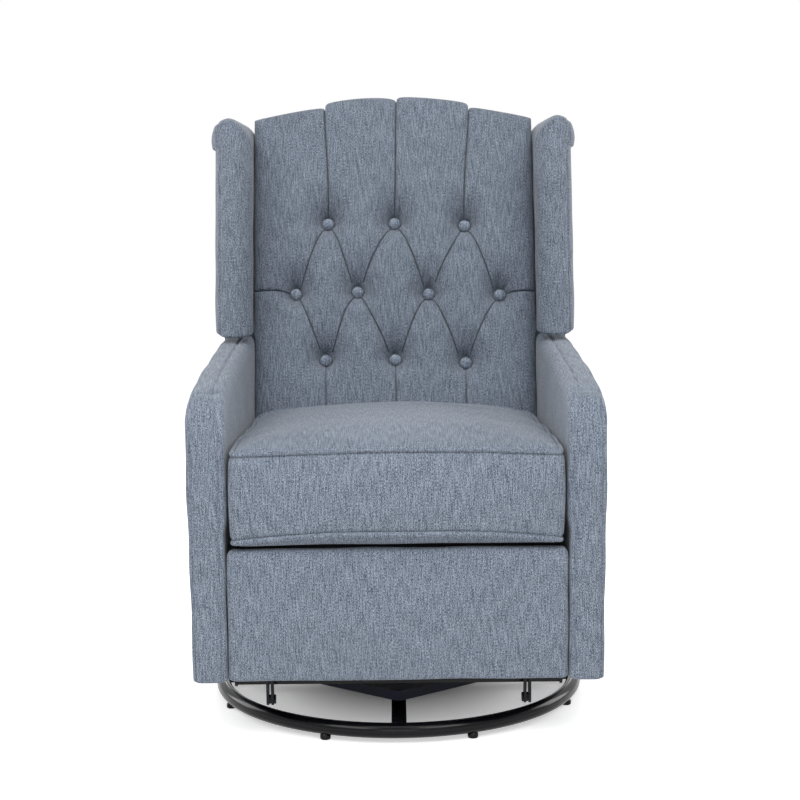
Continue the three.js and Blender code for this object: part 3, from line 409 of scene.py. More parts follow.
def swell(piece, voxel, pressure, most, held):
    """Stuffs a piece: remeshed, blown up as cloth and capped, with some of its points held"""
    scene = bpy.context.scene
    remesh = piece.modifiers.new("remesh", "REMESH")
    remesh.mode = "VOXEL"
    remesh.voxel_size = voxel
    bake_modifiers(piece)
    rest = points_of(piece)
    pins = piece.vertex_groups.new(name="held")
    pins.add([int(i) for i in np.flatnonzero(held(rest))], 1, "REPLACE")
    cloth = piece.modifiers.new("cloth", "CLOTH")
    cloth.settings.vertex_group_mass = pins.name
    cloth.settings.use_pressure = True
    cloth.settings.uniform_pressure_force = pressure
    cloth.settings.effector_weights.gravity = 0
    cloth.point_cache.frame_end = SWELL_FRAMES
    for number in range(1, SWELL_FRAMES + 1):
        scene.frame_set(number)
    shift = points_of(shown(piece)) - rest
    piece.modifiers.remove(cloth)
    piece.vertex_groups.remove(pins)
    scene.frame_set(1)
    length = np.linalg.norm(shift, axis=1, keepdims=True)
    set_points(piece, rest + shift * np.minimum(1, most / np.maximum(length, 1e-9)))
    piece.modifiers.new("smooth", "SUBSURF").levels = 1
    bake_modifiers(piece)


# Materials


class Wiring:
    """Short ways to wire the nodes of a material or a world"""

    def __init__(self, owner, shader="Principled BSDF"):
        owner.use_nodes = True
        self.owner = owner
        self.tree = owner.node_tree
        self.shader = self.tree.nodes[shader]

    def join(self, value, socket):
        if isinstance(value, bpy.types.NodeSocket):
            self.tree.links.new(value, socket)
        else:
            socket.default_value = value

    def fill(self, node, inputs):
        for name, value in inputs.items():
            self.join(value, node.inputs[name.replace("_", " ")])

    def add(self, kind, **inputs):
        node = self.tree.nodes.new(kind)
        self.fill(node, inputs)
        return node

    def cover(self, **inputs):
        """Sets the shader's inputs and gives the finished material"""
        self.fill(self.shader, inputs)
        return self.owner

    def coordinates(self):
        return self.add("ShaderNodeTexCoord").outputs["Object"]

    def place(self, size, source=None):
        """Coordinates in which a feature of that size, one length or three, spans one unit"""
        lengths = size if isinstance(size, tuple) else (size,) * 3
        scale = tuple(1 / length for length in lengths)
        source = source or self.coordinates()
        return self.add("ShaderNodeMapping", Vector=source, Scale=scale).outputs["Vector"]

    def slid(self, source, slope):
        """Coordinates whose columns are slid past each other, so that stretched noise shows no rows"""
        axes = self.add("ShaderNodeSeparateXYZ", Vector=source).outputs
        along = self.math("ADD", axes["Y"], self.math("MULTIPLY", axes["X"], slope))
        return self.add("ShaderNodeCombineXYZ", X=axes["X"], Y=along).outputs["Vector"]

    def noise(self, size, detail=2, roughness=0.5, source=None):
        place = self.place(size, source)
        node = self.add("ShaderNodeTexNoise", Vector=place, Scale=1, Detail=detail, Roughness=roughness)
        return node.outputs["Fac"]

    def math(self, operation, first, second):
        node = self.add("ShaderNodeMath")
        node.operation = operation
        self.join(first, node.inputs[0])
        self.join(second, node.inputs[1])
        return node.outputs[0]

    def ramp(self, share, *stops):
        """Colour of a share, from pairs of place and colour"""
        node = self.add("ShaderNodeValToRGB", Fac=share)
        elements = node.color_ramp.elements
        while len(elements) < len(stops):
            elements.new(0.5)
        for element, (place, colour) in zip(elements, stops):
            element.position = place
            element.color = (*colour, 1)
        return node.outputs["Color"]

    def spread(self, share, low, high, start=0, end=1):
        """What lies between two values as a share goes from start to end"""
        ends = {"From_Min": start, "From_Max": end, "To_Min": low, "To_Max": high}
        return self.add("ShaderNodeMapRange", Value=share, **ends).outputs["Result"]

    def product(self, first, second):
        """Product of two colours"""
        node = self.add("ShaderNodeMix")
        node.data_type = "RGBA"
        node.blend_type = "MULTIPLY"
        node.inputs[0].default_value = 1
        self.join(first, node.inputs[6])
        self.join(second, node.inputs[7])
        return node.outputs[2]

    def bump(self, height, distance):
        return self.add("ShaderNodeBump", Height=height, Distance=distance, Strength=1).outputs["Normal"]

    def seen(self):
        """1 where the camera, a reflection or a clear piece looks, else 0"""
        path = self.add("ShaderNodeLightPath").outputs
        seen = self.math("MAXIMUM", path["Is Camera Ray"], path["Is Glossy Ray"])
        return self.math("MAXIMUM", seen, path["Is Transmission Ray"])


def wired(name):
    return Wiring(bpy.data.materials.new(name))


def cloth_map(wiring, wrapped):
    """Places on the cloth in metres: by a piece's map, or wrapped round a board"""
    if wrapped:
        axes = wiring.add("ShaderNodeSeparateXYZ", Vector=wiring.coordinates()).outputs
        across = wiring.math("ADD", axes["X"], axes["Y"])
        return wiring.add("ShaderNodeCombineXYZ", X=across, Y=axes["Z"]).outputs["Vector"]
    weave = wiring.add("ShaderNodeUVMap")
    weave.uv_map = WEAVE_MAP
    return weave.outputs["UV"]


def heather_cloth(name="heather_cloth", light=1.0, wrapped=False):
    """Heathered blue-grey cloth with upright slubs, its yarn and flecks in widths of a yarn"""
    cloth = bpy.context.scene.recliner_fabric
    slide, yarn_length, fleck_width, fleck_length = 5.3, 4.4, 0.85, 1.3
    wiring = wired(name)
    uv = cloth_map(wiring, wrapped)
    slub = wiring.noise((cloth.slub_width, cloth.slub_length, 1), source=wiring.slid(uv, slide))
    yarn = wiring.noise((cloth.yarn, cloth.yarn * yarn_length, 1), detail=1, source=uv)
    fleck_size = (cloth.yarn * fleck_width, cloth.yarn * fleck_length, 1)
    fleck = wiring.noise(fleck_size, detail=0, source=uv)
    shares = [wiring.math("MULTIPLY", *part) for part in ((slub, 0.28), (yarn, 0.34), (fleck, 0.38))]
    tone = wiring.math("ADD", wiring.math("ADD", *shares[:2]), shares[2])
    heather = wiring.ramp(tone, (0.425, cloth.dark), (0.5, cloth.mean), (0.575, cloth.light))
    # The light argument scales the whole colour: below 1 it is painted shade, above 1 painted light; the broad
    # tone it scales differs at random
    broad = wiring.ramp(wiring.noise(0.12), (0.3, (0.95 * light,) * 3), (0.7, (light,) * 3))
    return wiring.cover(
        Base_Color=wiring.product(heather, broad),
        Roughness=0.92,
        Normal=wiring.bump(tone, distance=0.0003),
        Sheen_Weight=0.25,
        Sheen_Roughness=0.5,
        Specular_IOR_Level=0.2,
    )


def heather_cloth_painted_shade():
    """The same cloth painted darker, as painted shade on the back and the wings"""
    return heather_cloth("heather_cloth_painted_shade", light=0.85)


def heather_cloth_painted_light():
    """The same cloth pulled over a button, painted lighter as painted light on its dome"""
    return heather_cloth("heather_cloth_painted_light", light=1.18)


def heather_cloth_wrapped_painted_shade():
    """The same cloth wrapped round the edges of a board, painted darker with the painted shade of the back's cloth
    """
    return heather_cloth("heather_cloth_wrapped_painted_shade", light=0.85, wrapped=True)


def black_enamel():
    """Gloss black paint on bent tube, a little uneven, with dust in its sheen"""
    wiring = wired("black_enamel")
    dust = wiring.noise(0.05, detail=4, roughness=0.65)
    return wiring.cover(
        Base_Color=wiring.ramp(dust, (0.35, srgb(8, 8, 11)), (0.75, srgb(20, 20, 24))),
        Roughness=wiring.spread(dust, 0.10, 0.24),
        Normal=wiring.bump(wiring.noise(0.0025), distance=0.00006),
        Specular_IOR_Level=0.17,
    )


def mechanism_steel():
    """Satin black coated steel of the links and plates, with rubbed patches"""
    wiring = wired("mechanism_steel")
    rubbed = wiring.noise(0.018, detail=5, roughness=0.7)
    stops = (0.4, srgb(20, 21, 26)), (0.62, srgb(30, 31, 37)), (0.74, srgb(72, 74, 81))
    return wiring.cover(
        Base_Color=wiring.ramp(rubbed, *stops),
        Metallic=0.4,
        Roughness=wiring.spread(rubbed, 0.38, 0.56),
        Normal=wiring.bump(wiring.noise(0.0012), distance=0.00005),
        Specular_IOR_Level=0.25,
    )


def navy_plate():
    """Dark blue-black painted sheet"""
    wiring = wired("navy_plate")
    cloud = wiring.noise(0.04, detail=4)
    return wiring.cover(
        Base_Color=wiring.ramp(cloud, (0.35, srgb(8, 10, 26)), (0.7, srgb(20, 23, 44))),
        Roughness=wiring.spread(cloud, 0.4, 0.6),
        Specular_IOR_Level=0.2,
    )


def zinc_plate():
    """Bright zinc plating with a faint spangle"""
    wiring = wired("zinc_plate")
    cells = wiring.add("ShaderNodeTexVoronoi", Vector=wiring.place(0.004), Scale=1).outputs["Distance"]
    return wiring.cover(
        Base_Color=wiring.ramp(cells, (0.0, srgb(150, 152, 156)), (1.0, srgb(196, 198, 201))),
        Metallic=1.0,
        Roughness=wiring.spread(cells, 0.28, 0.45),
    )


def stained_plywood():
    """Plywood stained nearly black, as under a seat, with its grain along X"""
    wiring = wired("stained_plywood")
    grain = wiring.noise((0.16, 0.006, 0.006), detail=4, roughness=0.6)
    return wiring.cover(
        Base_Color=wiring.ramp(grain, (0.35, srgb(16, 15, 18)), (0.65, srgb(30, 28, 30))), Roughness=0.8
    )


SLOT_FINISHES = {
    "heather_blue_fabric": heather_cloth,
    "black_gloss_steel": black_enamel,
    "dark_steel": mechanism_steel,
    "zinc_steel": zinc_plate,
    "plywood": stained_plywood,
}
NODE_FINISHES = {
    "swivel_plate": navy_plate,
    "back_board": heather_cloth_wrapped_painted_shade,
    "footrest_board": heather_cloth_wrapped_painted_shade,
}


def finish(make):
    """The material that a function makes, under the function's name, made only once"""
    return bpy.data.materials.get(make.__name__) or make()


def map_weave(piece, lean):
    """Lays the cloth's map on a piece, in metres: across it one way and along the yarn the other"""
    mesh = piece.data
    turn = np.array(Matrix.Rotation(lean, 3, "X"))
    points = points_of(piece) @ turn.T
    facing = np.abs(values_of(mesh.polygons, "normal") @ turn.T).argmax(axis=1)
    facing = np.repeat(facing, values_of(mesh.polygons, "loop_total", int, 1)[:, 0])
    place = points[values_of(mesh.loops, "vertex_index", int, 1)[:, 0]]
    across = np.where(facing == 0, place[:, 1], place[:, 0])
    along = np.where(facing == 2, place[:, 1], place[:, 2])
    weave = mesh.uv_layers.get(WEAVE_MAP) or mesh.uv_layers.new(name=WEAVE_MAP)
    weave.data.foreach_set("uv", columns(across, along).ravel())


def upholster(piece, body, *nodes, fill=None, lean=0.0, cloth=heather_cloth):
    """Covers a piece in the chair's cloth and hangs it on a body"""
    map_weave(piece, lean)
    piece.data.materials.clear()
    piece.data.materials.append(finish(cloth))
    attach(piece, body)
    if nodes:
        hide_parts(*nodes)


def upholster_pair(piece, body, kind, **finishes):
    """Covers a piece of the right side and its mirror image"""
    other = mirrored(piece, f"left_{kind}_cover")
    upholster(piece, body, f"right_{kind}", **finishes)
    upholster(other, body, f"left_{kind}", **finishes)


# Base and mechanism


def ring_tube(settings):
    """The bent tube of the base"""
    section_steps, ring_steps = 24, 160
    bm = bmesh.new()
    bmesh.ops.create_circle(bm, segments=section_steps, radius=settings.tube)
    place = Matrix.Translation((settings.ring, 0, 0)) @ Matrix.Rotation(TURN / 4, 4, "X")
    bmesh.ops.transform(bm, matrix=place, verts=bm.verts)
    return spun(bm, bm.edges[:], ring_steps)


def ring_foot(settings, low, high):
    """A pad under the ring: wide where it stands, with a neck up to the tube"""
    outline = ((0, 0), (0.9, 0), (1, 0.12), (1, 0.5), (0.72, 0.62), (0.72, 1), (0, 1))
    return turned([(out * settings.foot, lerp(low, high, up)) for out, up in outline], steps=20)


def place_on_base(piece, place):
    """Moves a piece of the base to its place, paints it and hangs it on the base"""
    piece.data.transform(Matrix.Translation(place))
    piece.data.materials.append(finish(black_enamel))
    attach(piece, "base")


class RECLINER_OT_base(bpy.types.Operator):
    """Make the round ring of the base and its feet"""

    bl_idname = "recliner.base"
    bl_label = "Ring base"

    def execute(self, context):
        settings = context.scene.recliner_base
        low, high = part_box("base_ring")
        middle = high.z - settings.tube
        ring = piece_from(ring_tube(settings), "ring_tube")
        place_on_base(ring, (0, AXIS_Y, middle))
        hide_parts("base_ring")
        for number in range(settings.feet):
            angle = (number + 0.5) / settings.feet * TURN
            place = (settings.ring * math.cos(angle), AXIS_Y + settings.ring * math.sin(angle), 0)
            pad = ring_foot(settings, low.z, middle - settings.tube / 2)
            place_on_base(piece_from(pad, f"ring_foot_{number + 1}"), place)
        return {"FINISHED"}


class RECLINER_OT_mechanism(bpy.types.Operator):
    """Finish the steel, zinc and wood of the carried-over parts"""

    bl_idname = "recliner.mechanism"
    bl_label = "Mechanism finishes"

    def execute(self, context):
        for part in frame["record"]["subparts"]:
            node = frame["nodes"][part["node"]]
            make = NODE_FINISHES.get(part["node"], SLOT_FINISHES[part["material_slot"]])
            node.data.materials.clear()
            node.data.materials.append(finish(make))
            if node.hide_render:
                continue
            weld = node.modifiers.new("weld", "WELD")
            weld.merge_threshold = WELD_DISTANCE
            bevel = node.modifiers.new("bevel", "BEVEL")
            bevel.width = 0.0006
            bevel.segments = 2
            bevel.limit_method = "ANGLE"
            bevel.angle_limit = math.radians(40)
        return {"FINISHED"}


# Seat cushion and footrest


def back_face(height):
    """How far back the leaning face is at some height"""
    return AXIS_Y + BACK_FOOT_REACH + (height - BACK_FOOT_HEIGHT) * math.tan(BACK_LEAN)


def side_drop(across, along):
    """How much lower the top seam runs toward the rear corners"""
    most, start, end = 0.012, -0.7, 0.8
    return most * np.abs(across) ** 3 * eased(along, start, end)


def cushion_shape(settings, share):
    """Places the points of the seat cushion, stuffed to a share of its fullness"""
    tuck, tuck_share, draw_in = 0.014, 0.17, 0.003
    crown_width_power, crown_length_power = 0.52, 8

    def shape(points):
        x, y, z = points.T
        up = z / CUSHION_SIDE + 0.5
        across, along = x / CUSHION_HALF_WIDTH, y / y.max()
        middle = np.clip(1 - across**2, 0, 1)
        rear = back_face(CUSHION_FOOT + up * CUSHION_SIDE) - CUSHION_BACK_SPACE
        bulge = share * settings.bulge * (1 - (2 * up - 1) ** 2) * middle
        tucked = tuck * middle**0.5 * eased(tuck_share - up, 0, tuck_share)
        front = AXIS_Y - CUSHION_REACH - bulge + tucked
        crown = share * settings.crown * up**4 * middle**crown_width_power
        crown = crown * (1 - np.abs(along) ** crown_length_power) - side_drop(across, along) * up
        drawn = draw_in * (2 * up - 1) ** 2 * across
        z = CUSHION_FOOT + up * CUSHION_SIDE + crown
        return columns(x - drawn, lerp(front, rear, (along + 1) / 2), z)

    return shape


def piping_paths(cushion, settings):
    """The lower and upper seam of the cushion, which its piping follows"""
    foot_space, side_space, corner, facing_depth, upper_bow = 0.004, 0.002, 0.02, 0.03, 0.008
    front = AXIS_Y - CUSHION_REACH
    rear = back_face(CUSHION_FOOT + CUSHION_SIDE / 2) - CUSHION_BACK_SPACE
    paths = {}
    for name, level, bow, drop in (
        ("lower", CUSHION_FOOT + foot_space, settings.bow, 0),
        ("upper", CUSHION_FOOT + CUSHION_SIDE, upper_bow, 1),
    ):
        path = loop_round(CUSHION_HALF_WIDTH - side_space, front, rear, corner, level)
        across = path[:, 0] / CUSHION_HALF_WIDTH
        along = 2 * (path[:, 1] - front) / (rear - front) - 1
        path[:, 2] += np.where(path[:, 1] < front + facing_depth, bow * (1 - across**2), 0)
        path[:, 2] -= drop * side_drop(across, along)
        paths[name] = laid_on(cushion, path)
    return paths


class RECLINER_OT_seat(bpy.types.Operator):
    """Make the boxed seat cushion and its piping"""

    bl_idname = "recliner.seat"
    bl_label = "Seat cushion"

    def execute(self, context):
        settings = context.scene.recliner_cushion
        half_depth, share_before_swelling, sunk_share = 0.24, 0.9, 0.75
        halves = (CUSHION_HALF_WIDTH, half_depth, CUSHION_SIDE / 2)
        shape = cushion_shape(settings, share_before_swelling)
        radii = (settings.edge,) * 3
        counts = (134, 130, 40)
        cushion = padded_block("seat_cushion_cover", halves, radii, settings.edge, shape, counts)
        paths = piping_paths(cushion, settings)

        def held(points):
            """Points by the seams, the arms, the back and the frame, which keep their place"""
            seam_reach, side_reach, rear_reach = 0.006, 0.004, 0.012
            near = distance_to(points, np.vstack([*paths.values()])) < seam_reach
            aside = np.abs(points[:, 0]) > CUSHION_HALF_WIDTH - side_reach
            behind = points[:, 1] > back_face(points[:, 2]) - rear_reach
            return near | aside | behind | (points[:, 2] < CUSHION_FOOT + seam_reach)

        swell(cushion, voxel=0.007, pressure=4.5, most=0.022, held=held)
        rumple(cushion, amount=0.0012, length=0.16, seed=3)
        for name, path in paths.items():
            path = laid_on(cushion, path)
            sew(cushion, path, depth=0.0035, width=0.006, closed=True)
            route = laid_on(cushion, path, settings.piping * sunk_share)
            upholster(cord(f"seat_piping_{name}", route, settings.piping), "seat")
        upholster(cushion, "seat", "seat_cushion", fill=0.8)
        return {"FINISHED"}


class RECLINER_OT_footrest(bpy.types.Operator):
    """Make the padded panel of the footrest"""

    bl_idname = "recliner.footrest"
    bl_label = "Footrest"

    def execute(self, context):
        low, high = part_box("footrest_pad")
        halves, middle = (high - low) / 2, np.array((high + low) / 2)
        fullness, edges, foot = 0.0065, (0.012, 0.009, 0.012), 0.006

        def shape(points):
            x, y, z = points.T
            puff = fullness * (1 - (x / halves.x) ** 4) * (1 - (z / halves.z) ** 2) * (y < 0)
            return columns(x, y - puff, z) + middle

        pad = padded_block("footrest_cover", halves, edges, foot, shape, counts=(180, 10, 74))
        rumple(pad, amount=0.0008, length=0.12, seed=8)
        upholster(pad, "footrest", "footrest_pad", fill=0.5)
        return {"FINISHED"}


# Arms


def arm_top(reach):
    """Height of the top of an arm at a reach along it from the swivel axis"""
    brow, tail = ARM_FRONT + ARM_BROW_ROUND, ARM_REAR - ARM_TAIL_ROUND
    climbed = np.clip((reach - brow) / (tail - brow), 0, 1) ** ARM_RISE_POWER
    rising = lerp(ARM_BROW, ARM_TAIL, climbed) - ARM_TAIL_ROUND * arc_fall((reach - tail) / ARM_TAIL_ROUND)
    nose = lerp(ARM_NOSE, ARM_BROW, 1 - arc_fall((brow - reach) / ARM_BROW_ROUND))
    return np.where(reach < brow, nose, rising)


def arm_shape(points):
    """Places the points of the right arm"""
    swell_depth, swell_start, swell_end = 0.0035, 0.350, 0.380
    taper_depth, taper_height = 0.005, 0.288
    x, y, z = points.T
    half = ARM_WIDTH / 2
    inner = (half - x) / ARM_WIDTH
    reach = y + (ARM_FRONT + ARM_REAR) / 2
    z = lerp(ARM_FOOT, arm_top(reach), z / (2 * z.max()) + 0.5)
    swelled = swell_depth * eased(z, swell_start, swell_end)
    taper = taper_depth * np.clip(1 - (z - ARM_FOOT) / taper_height, 0, None)
    x = x + ARM_INNER_X + half - swelled * inner - taper * (1 - inner)
    return columns(x, reach + AXIS_Y, z)


def arm_seam(side):
    """The seam between the front and top strip of an arm and its side, from its foot to its tail"""
    foot, brow, tail, turn_start, turn_end = 0.115, 0.505, 0.270, 0.500, 0.590
    front_inset, top_inset = 0.006, 0.019 if side < 0 else 0.008
    along = np.linspace(ARM_FRONT, tail, 120)
    height = np.concatenate([np.linspace(foot, brow, 40), arm_top(along)])
    reach = np.concatenate([np.full(40, ARM_FRONT), along])
    inset = lerp(front_inset, top_inset, eased(height, turn_start, turn_end))
    return columns(ARM_INNER_X + (inset if side < 0 else ARM_WIDTH - inset), reach + AXIS_Y, height)


class RECLINER_OT_arms(bpy.types.Operator):
    """Make the padded arms"""

    bl_idname = "recliner.arms"
    bl_label = "Arms"

    def execute(self, context):
        halves = (ARM_WIDTH / 2, (ARM_REAR - ARM_FRONT) / 2, (ARM_TAIL - ARM_FOOT) / 2)
        edges, foot = (0.015, 0.011, 0.022), 0.004
        arm = padded_block("right_arm_cover", halves, edges, foot, arm_shape, counts=(36, 180, 150))
        for side in (-1, 1):
            sew(arm, laid_on(arm, arm_seam(side)), depth=0.0030, width=0.0025)
        rumple(arm, amount=0.0008, length=0.14, seed=5)
        upholster_pair(arm, "carriage", "arm", fill=0.7)
        return {"FINISHED"}


# Back

# Places across of the channels above the upper row, and how far each tuft of the rows from the
# upper to the lower lies off its even place, across and up
CHANNELS = (-0.134, 0.008, 0.150)
TUFT_DRIFT = (
    ((0.001, 0.0), (0.001, 0.0), (0.008, -0.006)),
    ((0.003, -0.003), (-0.007, 0.0), (0.001, -0.005), (0.009, -0.008)),
    ((-0.004, 0.0), (0.0, 0.0), (0.006, -0.0075)),
)
CREST_NOTCH = 0.004
PLEAT_STEPS = 14


def on_back(x, rise, depth):
    """Places across the leaning back, up along its face and behind its face"""
    y = AXIS_Y + BACK_FOOT_REACH + rise * math.sin(BACK_LEAN) + depth * math.cos(BACK_LEAN)
    z = BACK_FOOT_HEIGHT + rise * math.cos(BACK_LEAN) - depth * math.sin(BACK_LEAN)
    return columns(x, y, z)


def rise_at(height):
    return (height - BACK_FOOT_HEIGHT) / math.cos(BACK_LEAN)


def edge_distance(x, half, rise, crest):
    """Distance from the nearest edge of the back"""
    return np.minimum(np.minimum(half - np.abs(x), rise), crest - rise)


def back_half_width(rise):
    step = rise_at(BACK_STEP_HEIGHT)
    return lerp(BACK_LOWER_WIDTH, BACK_UPPER_WIDTH, np.clip((rise - step) / BACK_EDGE + 1, 0, 1)) / 2


def crest_rise(x, notch):
    """Rise of the crest at places across it: four lobes with a notch where each channel ends"""
    lobe_fall, lobe_end, lobe_width = 0.0075, 0.262, 0.12
    dip, dip_width, notch_width = 0.006, 0.022, 0.003
    aside = np.abs(x)
    left, centre, right = CHANNELS
    fall = CREST_FALL * (2 * aside / BACK_UPPER_WIDTH) ** CREST_POWER
    fall += lobe_fall * np.clip((lobe_end - aside) / lobe_width, 0, 1) * ((x < left) | (x > right))
    fall += dip * np.exp(-np.abs(x - centre) / dip_width) * (x < centre)
    nearest = np.min([np.abs(x - channel) for channel in CHANNELS], axis=0)
    return rise_at(CREST_HEIGHT - fall) - notch * np.exp(-nearest / notch_width)


def tufts_of(settings):
    """Places of the buttons on the back: three, four and three"""
    heights = (settings.upper, settings.middle, settings.lower)
    return [
        [
            np.array(((number - (len(drifts) - 1) / 2) * settings.pitch, rise_at(height))) + drift
            for number, drift in enumerate(drifts)
        ]
        for height, drifts in zip(heights, TUFT_DRIFT)
    ]


def bent(start, end, leave, arrive):
    """A path between two places that leaves and arrives along two given ways"""
    pull = 0.36
    share = np.linspace(0, 1, PLEAT_STEPS)[:, None]
    reach = pull * np.linalg.norm(end - start)
    first, last = start + np.array(leave) * reach, end + np.array(arrive) * reach
    back = 1 - share
    return back**3 * start + 3 * back**2 * share * first + 3 * back * share**2 * last + share**3 * end


def gather(tuft, length, angle):
    """A short straight fold that runs out from a tuft"""
    return np.array([tuft, tuft + length * np.array((math.cos(angle), math.sin(angle)))])


def pleats_of(settings):
    """The folds of the back: each a path, its strength at the start and at the end"""
    draw = np.random.default_rng(41)
    upper, middle, lower = tufts_of(settings)
    folds = []
    past_crest, waver_turn = 0.03, np.sin(np.linspace(0, 6, PLEAT_STEPS))[:, None]
    for tuft, channel in zip(upper, CHANNELS):
        top = np.array((channel, rise_at(CREST_HEIGHT) + past_crest))
        waver = np.array((draw.uniform(-0.002, 0.002), 0)) * waver_turn
        folds.append((bent(tuft, top, leave=(0, 1), arrive=(0, -1)) + waver, 1.3, 1.0))
    start_aside, start_drop = 0.007, 0.010
    pairs = [(tuft, other) for tuft in upper for other in middle]
    pairs += [(tuft, other) for tuft in middle for other in lower]
    for tuft, other in pairs:
        if abs(other[0] - tuft[0]) < settings.pitch:
            way = math.copysign(1, other[0] - tuft[0])
            start = tuft + np.array((way * start_aside, -start_drop))
            end_aside, end_rise = draw.uniform(0.008, 0.014), draw.uniform(0.012, 0.022)
            end = other + np.array((-way * end_aside, end_rise))
            lean = draw.uniform(0.38, 0.56)
            leave, arrive = (way * lean, -math.sqrt(1 - lean**2)), (-way * 0.34, 0.94)
            folds.append((bent(start, end, leave, arrive), 1.0, 0.9))
    side_rise = 0.002
    for way, tuft in ((-1, middle[0]), (1, middle[-1])):
        side = np.array((way * BACK_UPPER_WIDTH / 2, tuft[1] + side_rise))
        folds.append((bent(tuft, side, leave=(way * 0.95, 0.25), arrive=(-way * 0.98, -0.1)), 1.2, 1.3))
    for tuft in lower:
        aside, drop = draw.uniform(-0.004, 0.004), draw.uniform(0.11, 0.13)
        folds.append((np.array([tuft, tuft - np.array((aside, drop))]), 1.0, 0.5))
    for tuft in upper + middle + lower:
        for _ in range(7):
            angle, length = draw.normal(TURN / 4, 0.55), draw.uniform(0.024, 0.044)
            folds.append((gather(tuft, length, angle), draw.uniform(0.4, 0.9), 0.0))
    for tuft in lower:
        for _ in range(3):
            angle, length = draw.uniform(-2.8, -0.35), draw.uniform(0.02, 0.04)
            folds.append((gather(tuft, length, angle), 0.35, 0.0))
    return folds


def near_path(here, path, reach):
    """Numbers of the places in the box round a path, grown by a reach"""
    low, high = path.min(axis=0) - reach, path.max(axis=0) + reach
    return np.flatnonzero(((here > low) & (here < high)).all(axis=1))


def tuft_hollow(settings, here):
    """Share of a tuft's depth that the cloth round each tuft is drawn in by"""
    rim, radius, pit_width, pit_share = 0.010, 0.042, 0.006, 0.35
    stretch_up, stretch_down, cone_power = 1.55, 0.95, 1.6
    hollow = np.zeros(len(here))
    for tuft in sum(tufts_of(settings), []):
        aside, up = (here - tuft).T
        out = np.maximum(np.hypot(aside, up / np.where(up > 0, stretch_up, stretch_down)) - rim, 0)
        cone = np.clip(1 - out / radius, 0, 1) ** cone_power
        hollow = np.maximum(hollow, pit_share * np.exp(-out / pit_width) + (1 - pit_share) * cone)
    return hollow


def tufted_depth(settings, x, rise):
    """How far the sewn face lies below its fullest at places on the back"""
    valley_width, fold_width, fold_power, furthest = 0.011, 0.0009, 1.5, 0.05
    here = columns(x, rise)
    valley, fold = np.zeros(len(x)), np.zeros(len(x))
    for path, first, last in pleats_of(settings):
        near = near_path(here, path, furthest)
        for number, (start, end) in enumerate(zip(path[:-1], path[1:])):
            share, away = beside(here[near], start, end)
            strength = lerp(first, last, (number + share) / (len(path) - 1))
            soft = strength * settings.fullness * np.exp(-away / valley_width)
            sharp = strength * settings.fold * np.exp(-((away / fold_width) ** fold_power))
            valley[near] = np.maximum(valley[near], soft)
            fold[near] = np.maximum(fold[near], sharp)
    hollow = tuft_hollow(settings, here)
    return valley + (settings.depth - valley) * hollow + fold * (1 - hollow**4)


def spread_on_back(points):
    """Place across and rise of the points of a block spread over the back, and its crest there"""
    across, _, up = points.T
    share = (up + 1) / 2
    half = back_half_width(share * crest_rise(across * BACK_UPPER_WIDTH / 2, CREST_NOTCH))
    x = across * half
    crest = crest_rise(x, CREST_NOTCH)
    return x, share * crest, half, crest


def refine_folds(bm, settings, reach):
    """Halves the edges of the face of the back that lie within reach of a fold"""
    face = -0.99
    front = [vert for vert in bm.verts if vert.co.y < face]
    x, rise, _, _ = spread_on_back(np.array([vert.co for vert in front]))
    here = columns(x, rise)
    near = np.zeros(len(front), bool)
    for path, _, _ in pleats_of(settings):
        some = near_path(here, path, reach)
        near[some] |= distance_to(here[some], path) < reach
    chosen = {vert for vert, close in zip(front, near) if close}
    edges = [edge for edge in bm.edges if edge.verts[0] in chosen and edge.verts[1] in chosen]
    bmesh.ops.subdivide_edges(bm, edges=edges, cuts=1, use_grid_fill=True)


def back_points(settings, points):
    """Places the points of the tufted cushion of the back"""
    most_share = 0.7
    x, rise, half, crest = spread_on_back(points)
    edge = edge_distance(x, half, rise, crest)
    roll = BACK_EDGE * arc_fall(1 - edge / BACK_EDGE)
    pressed = np.minimum(tufted_depth(settings, x, rise) + roll, BACK_DEPTH * most_share)
    uneven = ripple(columns(x, rise, 0), amount=0.0012, length=0.11, seed=12)
    return on_back(x, rise, lerp(pressed + uneven, BACK_DEPTH, (points[:, 1] + 1) / 2))


def button_dome(radius):
    """A covered button: a dome drawn in under its rim"""
    steps, height, rim, neck_share = 7, 0.009, 0.003, 0.8
    profile = [(0, 0), (radius * neck_share, 0)]
    for step in range(steps + 1):
        angle = lerp(-0.5, 1, step / steps) * TURN / 4
        profile.append((radius * math.cos(angle), rim + (height - rim) * max(-0.4, math.sin(angle))))
    return turned(profile, steps=28)


class RECLINER_OT_back(bpy.types.Operator):
    """Make the tufted inside back and its buttons"""

    bl_idname = "recliner.back"
    bl_label = "Tufted back"

    def execute(self, context):
        settings = context.scene.recliner_tufts
        button_lift = 0.015
        bm = grid_block((270, 10, 360))
        rear = [face for face in bm.faces if face.normal.y > 0.9]
        bmesh.ops.dissolve_faces(bm, faces=rear, use_verts=True)
        for reach in (0.0045, 0.0025):
            refine_folds(bm, settings, reach)
        cushion = piece_from(bm, "back_cushion_cover")
        set_points(cushion, back_points(settings, points_of(cushion)))
        upholster(cushion, "back", "back_cushion", fill=0.7, lean=BACK_LEAN, cloth=heather_cloth_painted_shade)
        lay = Matrix.Rotation(TURN / 4 + BACK_LEAN, 4, "X")
        for number, (x, rise) in enumerate(sum(tufts_of(settings), [])):
            dome = piece_from(button_dome(settings.button), f"tuft_button_cover_{number + 1}")
            seat = Vector(on_back(x, rise, settings.depth - button_lift))
            dome.data.transform(Matrix.Translation(seat) @ lay)
            node = f"tuft_button_{number + 1}"
            upholster(dome, "back", node, fill=1.0, lean=BACK_LEAN, cloth=heather_cloth_painted_light)
        return {"FINISHED"}


# Wings


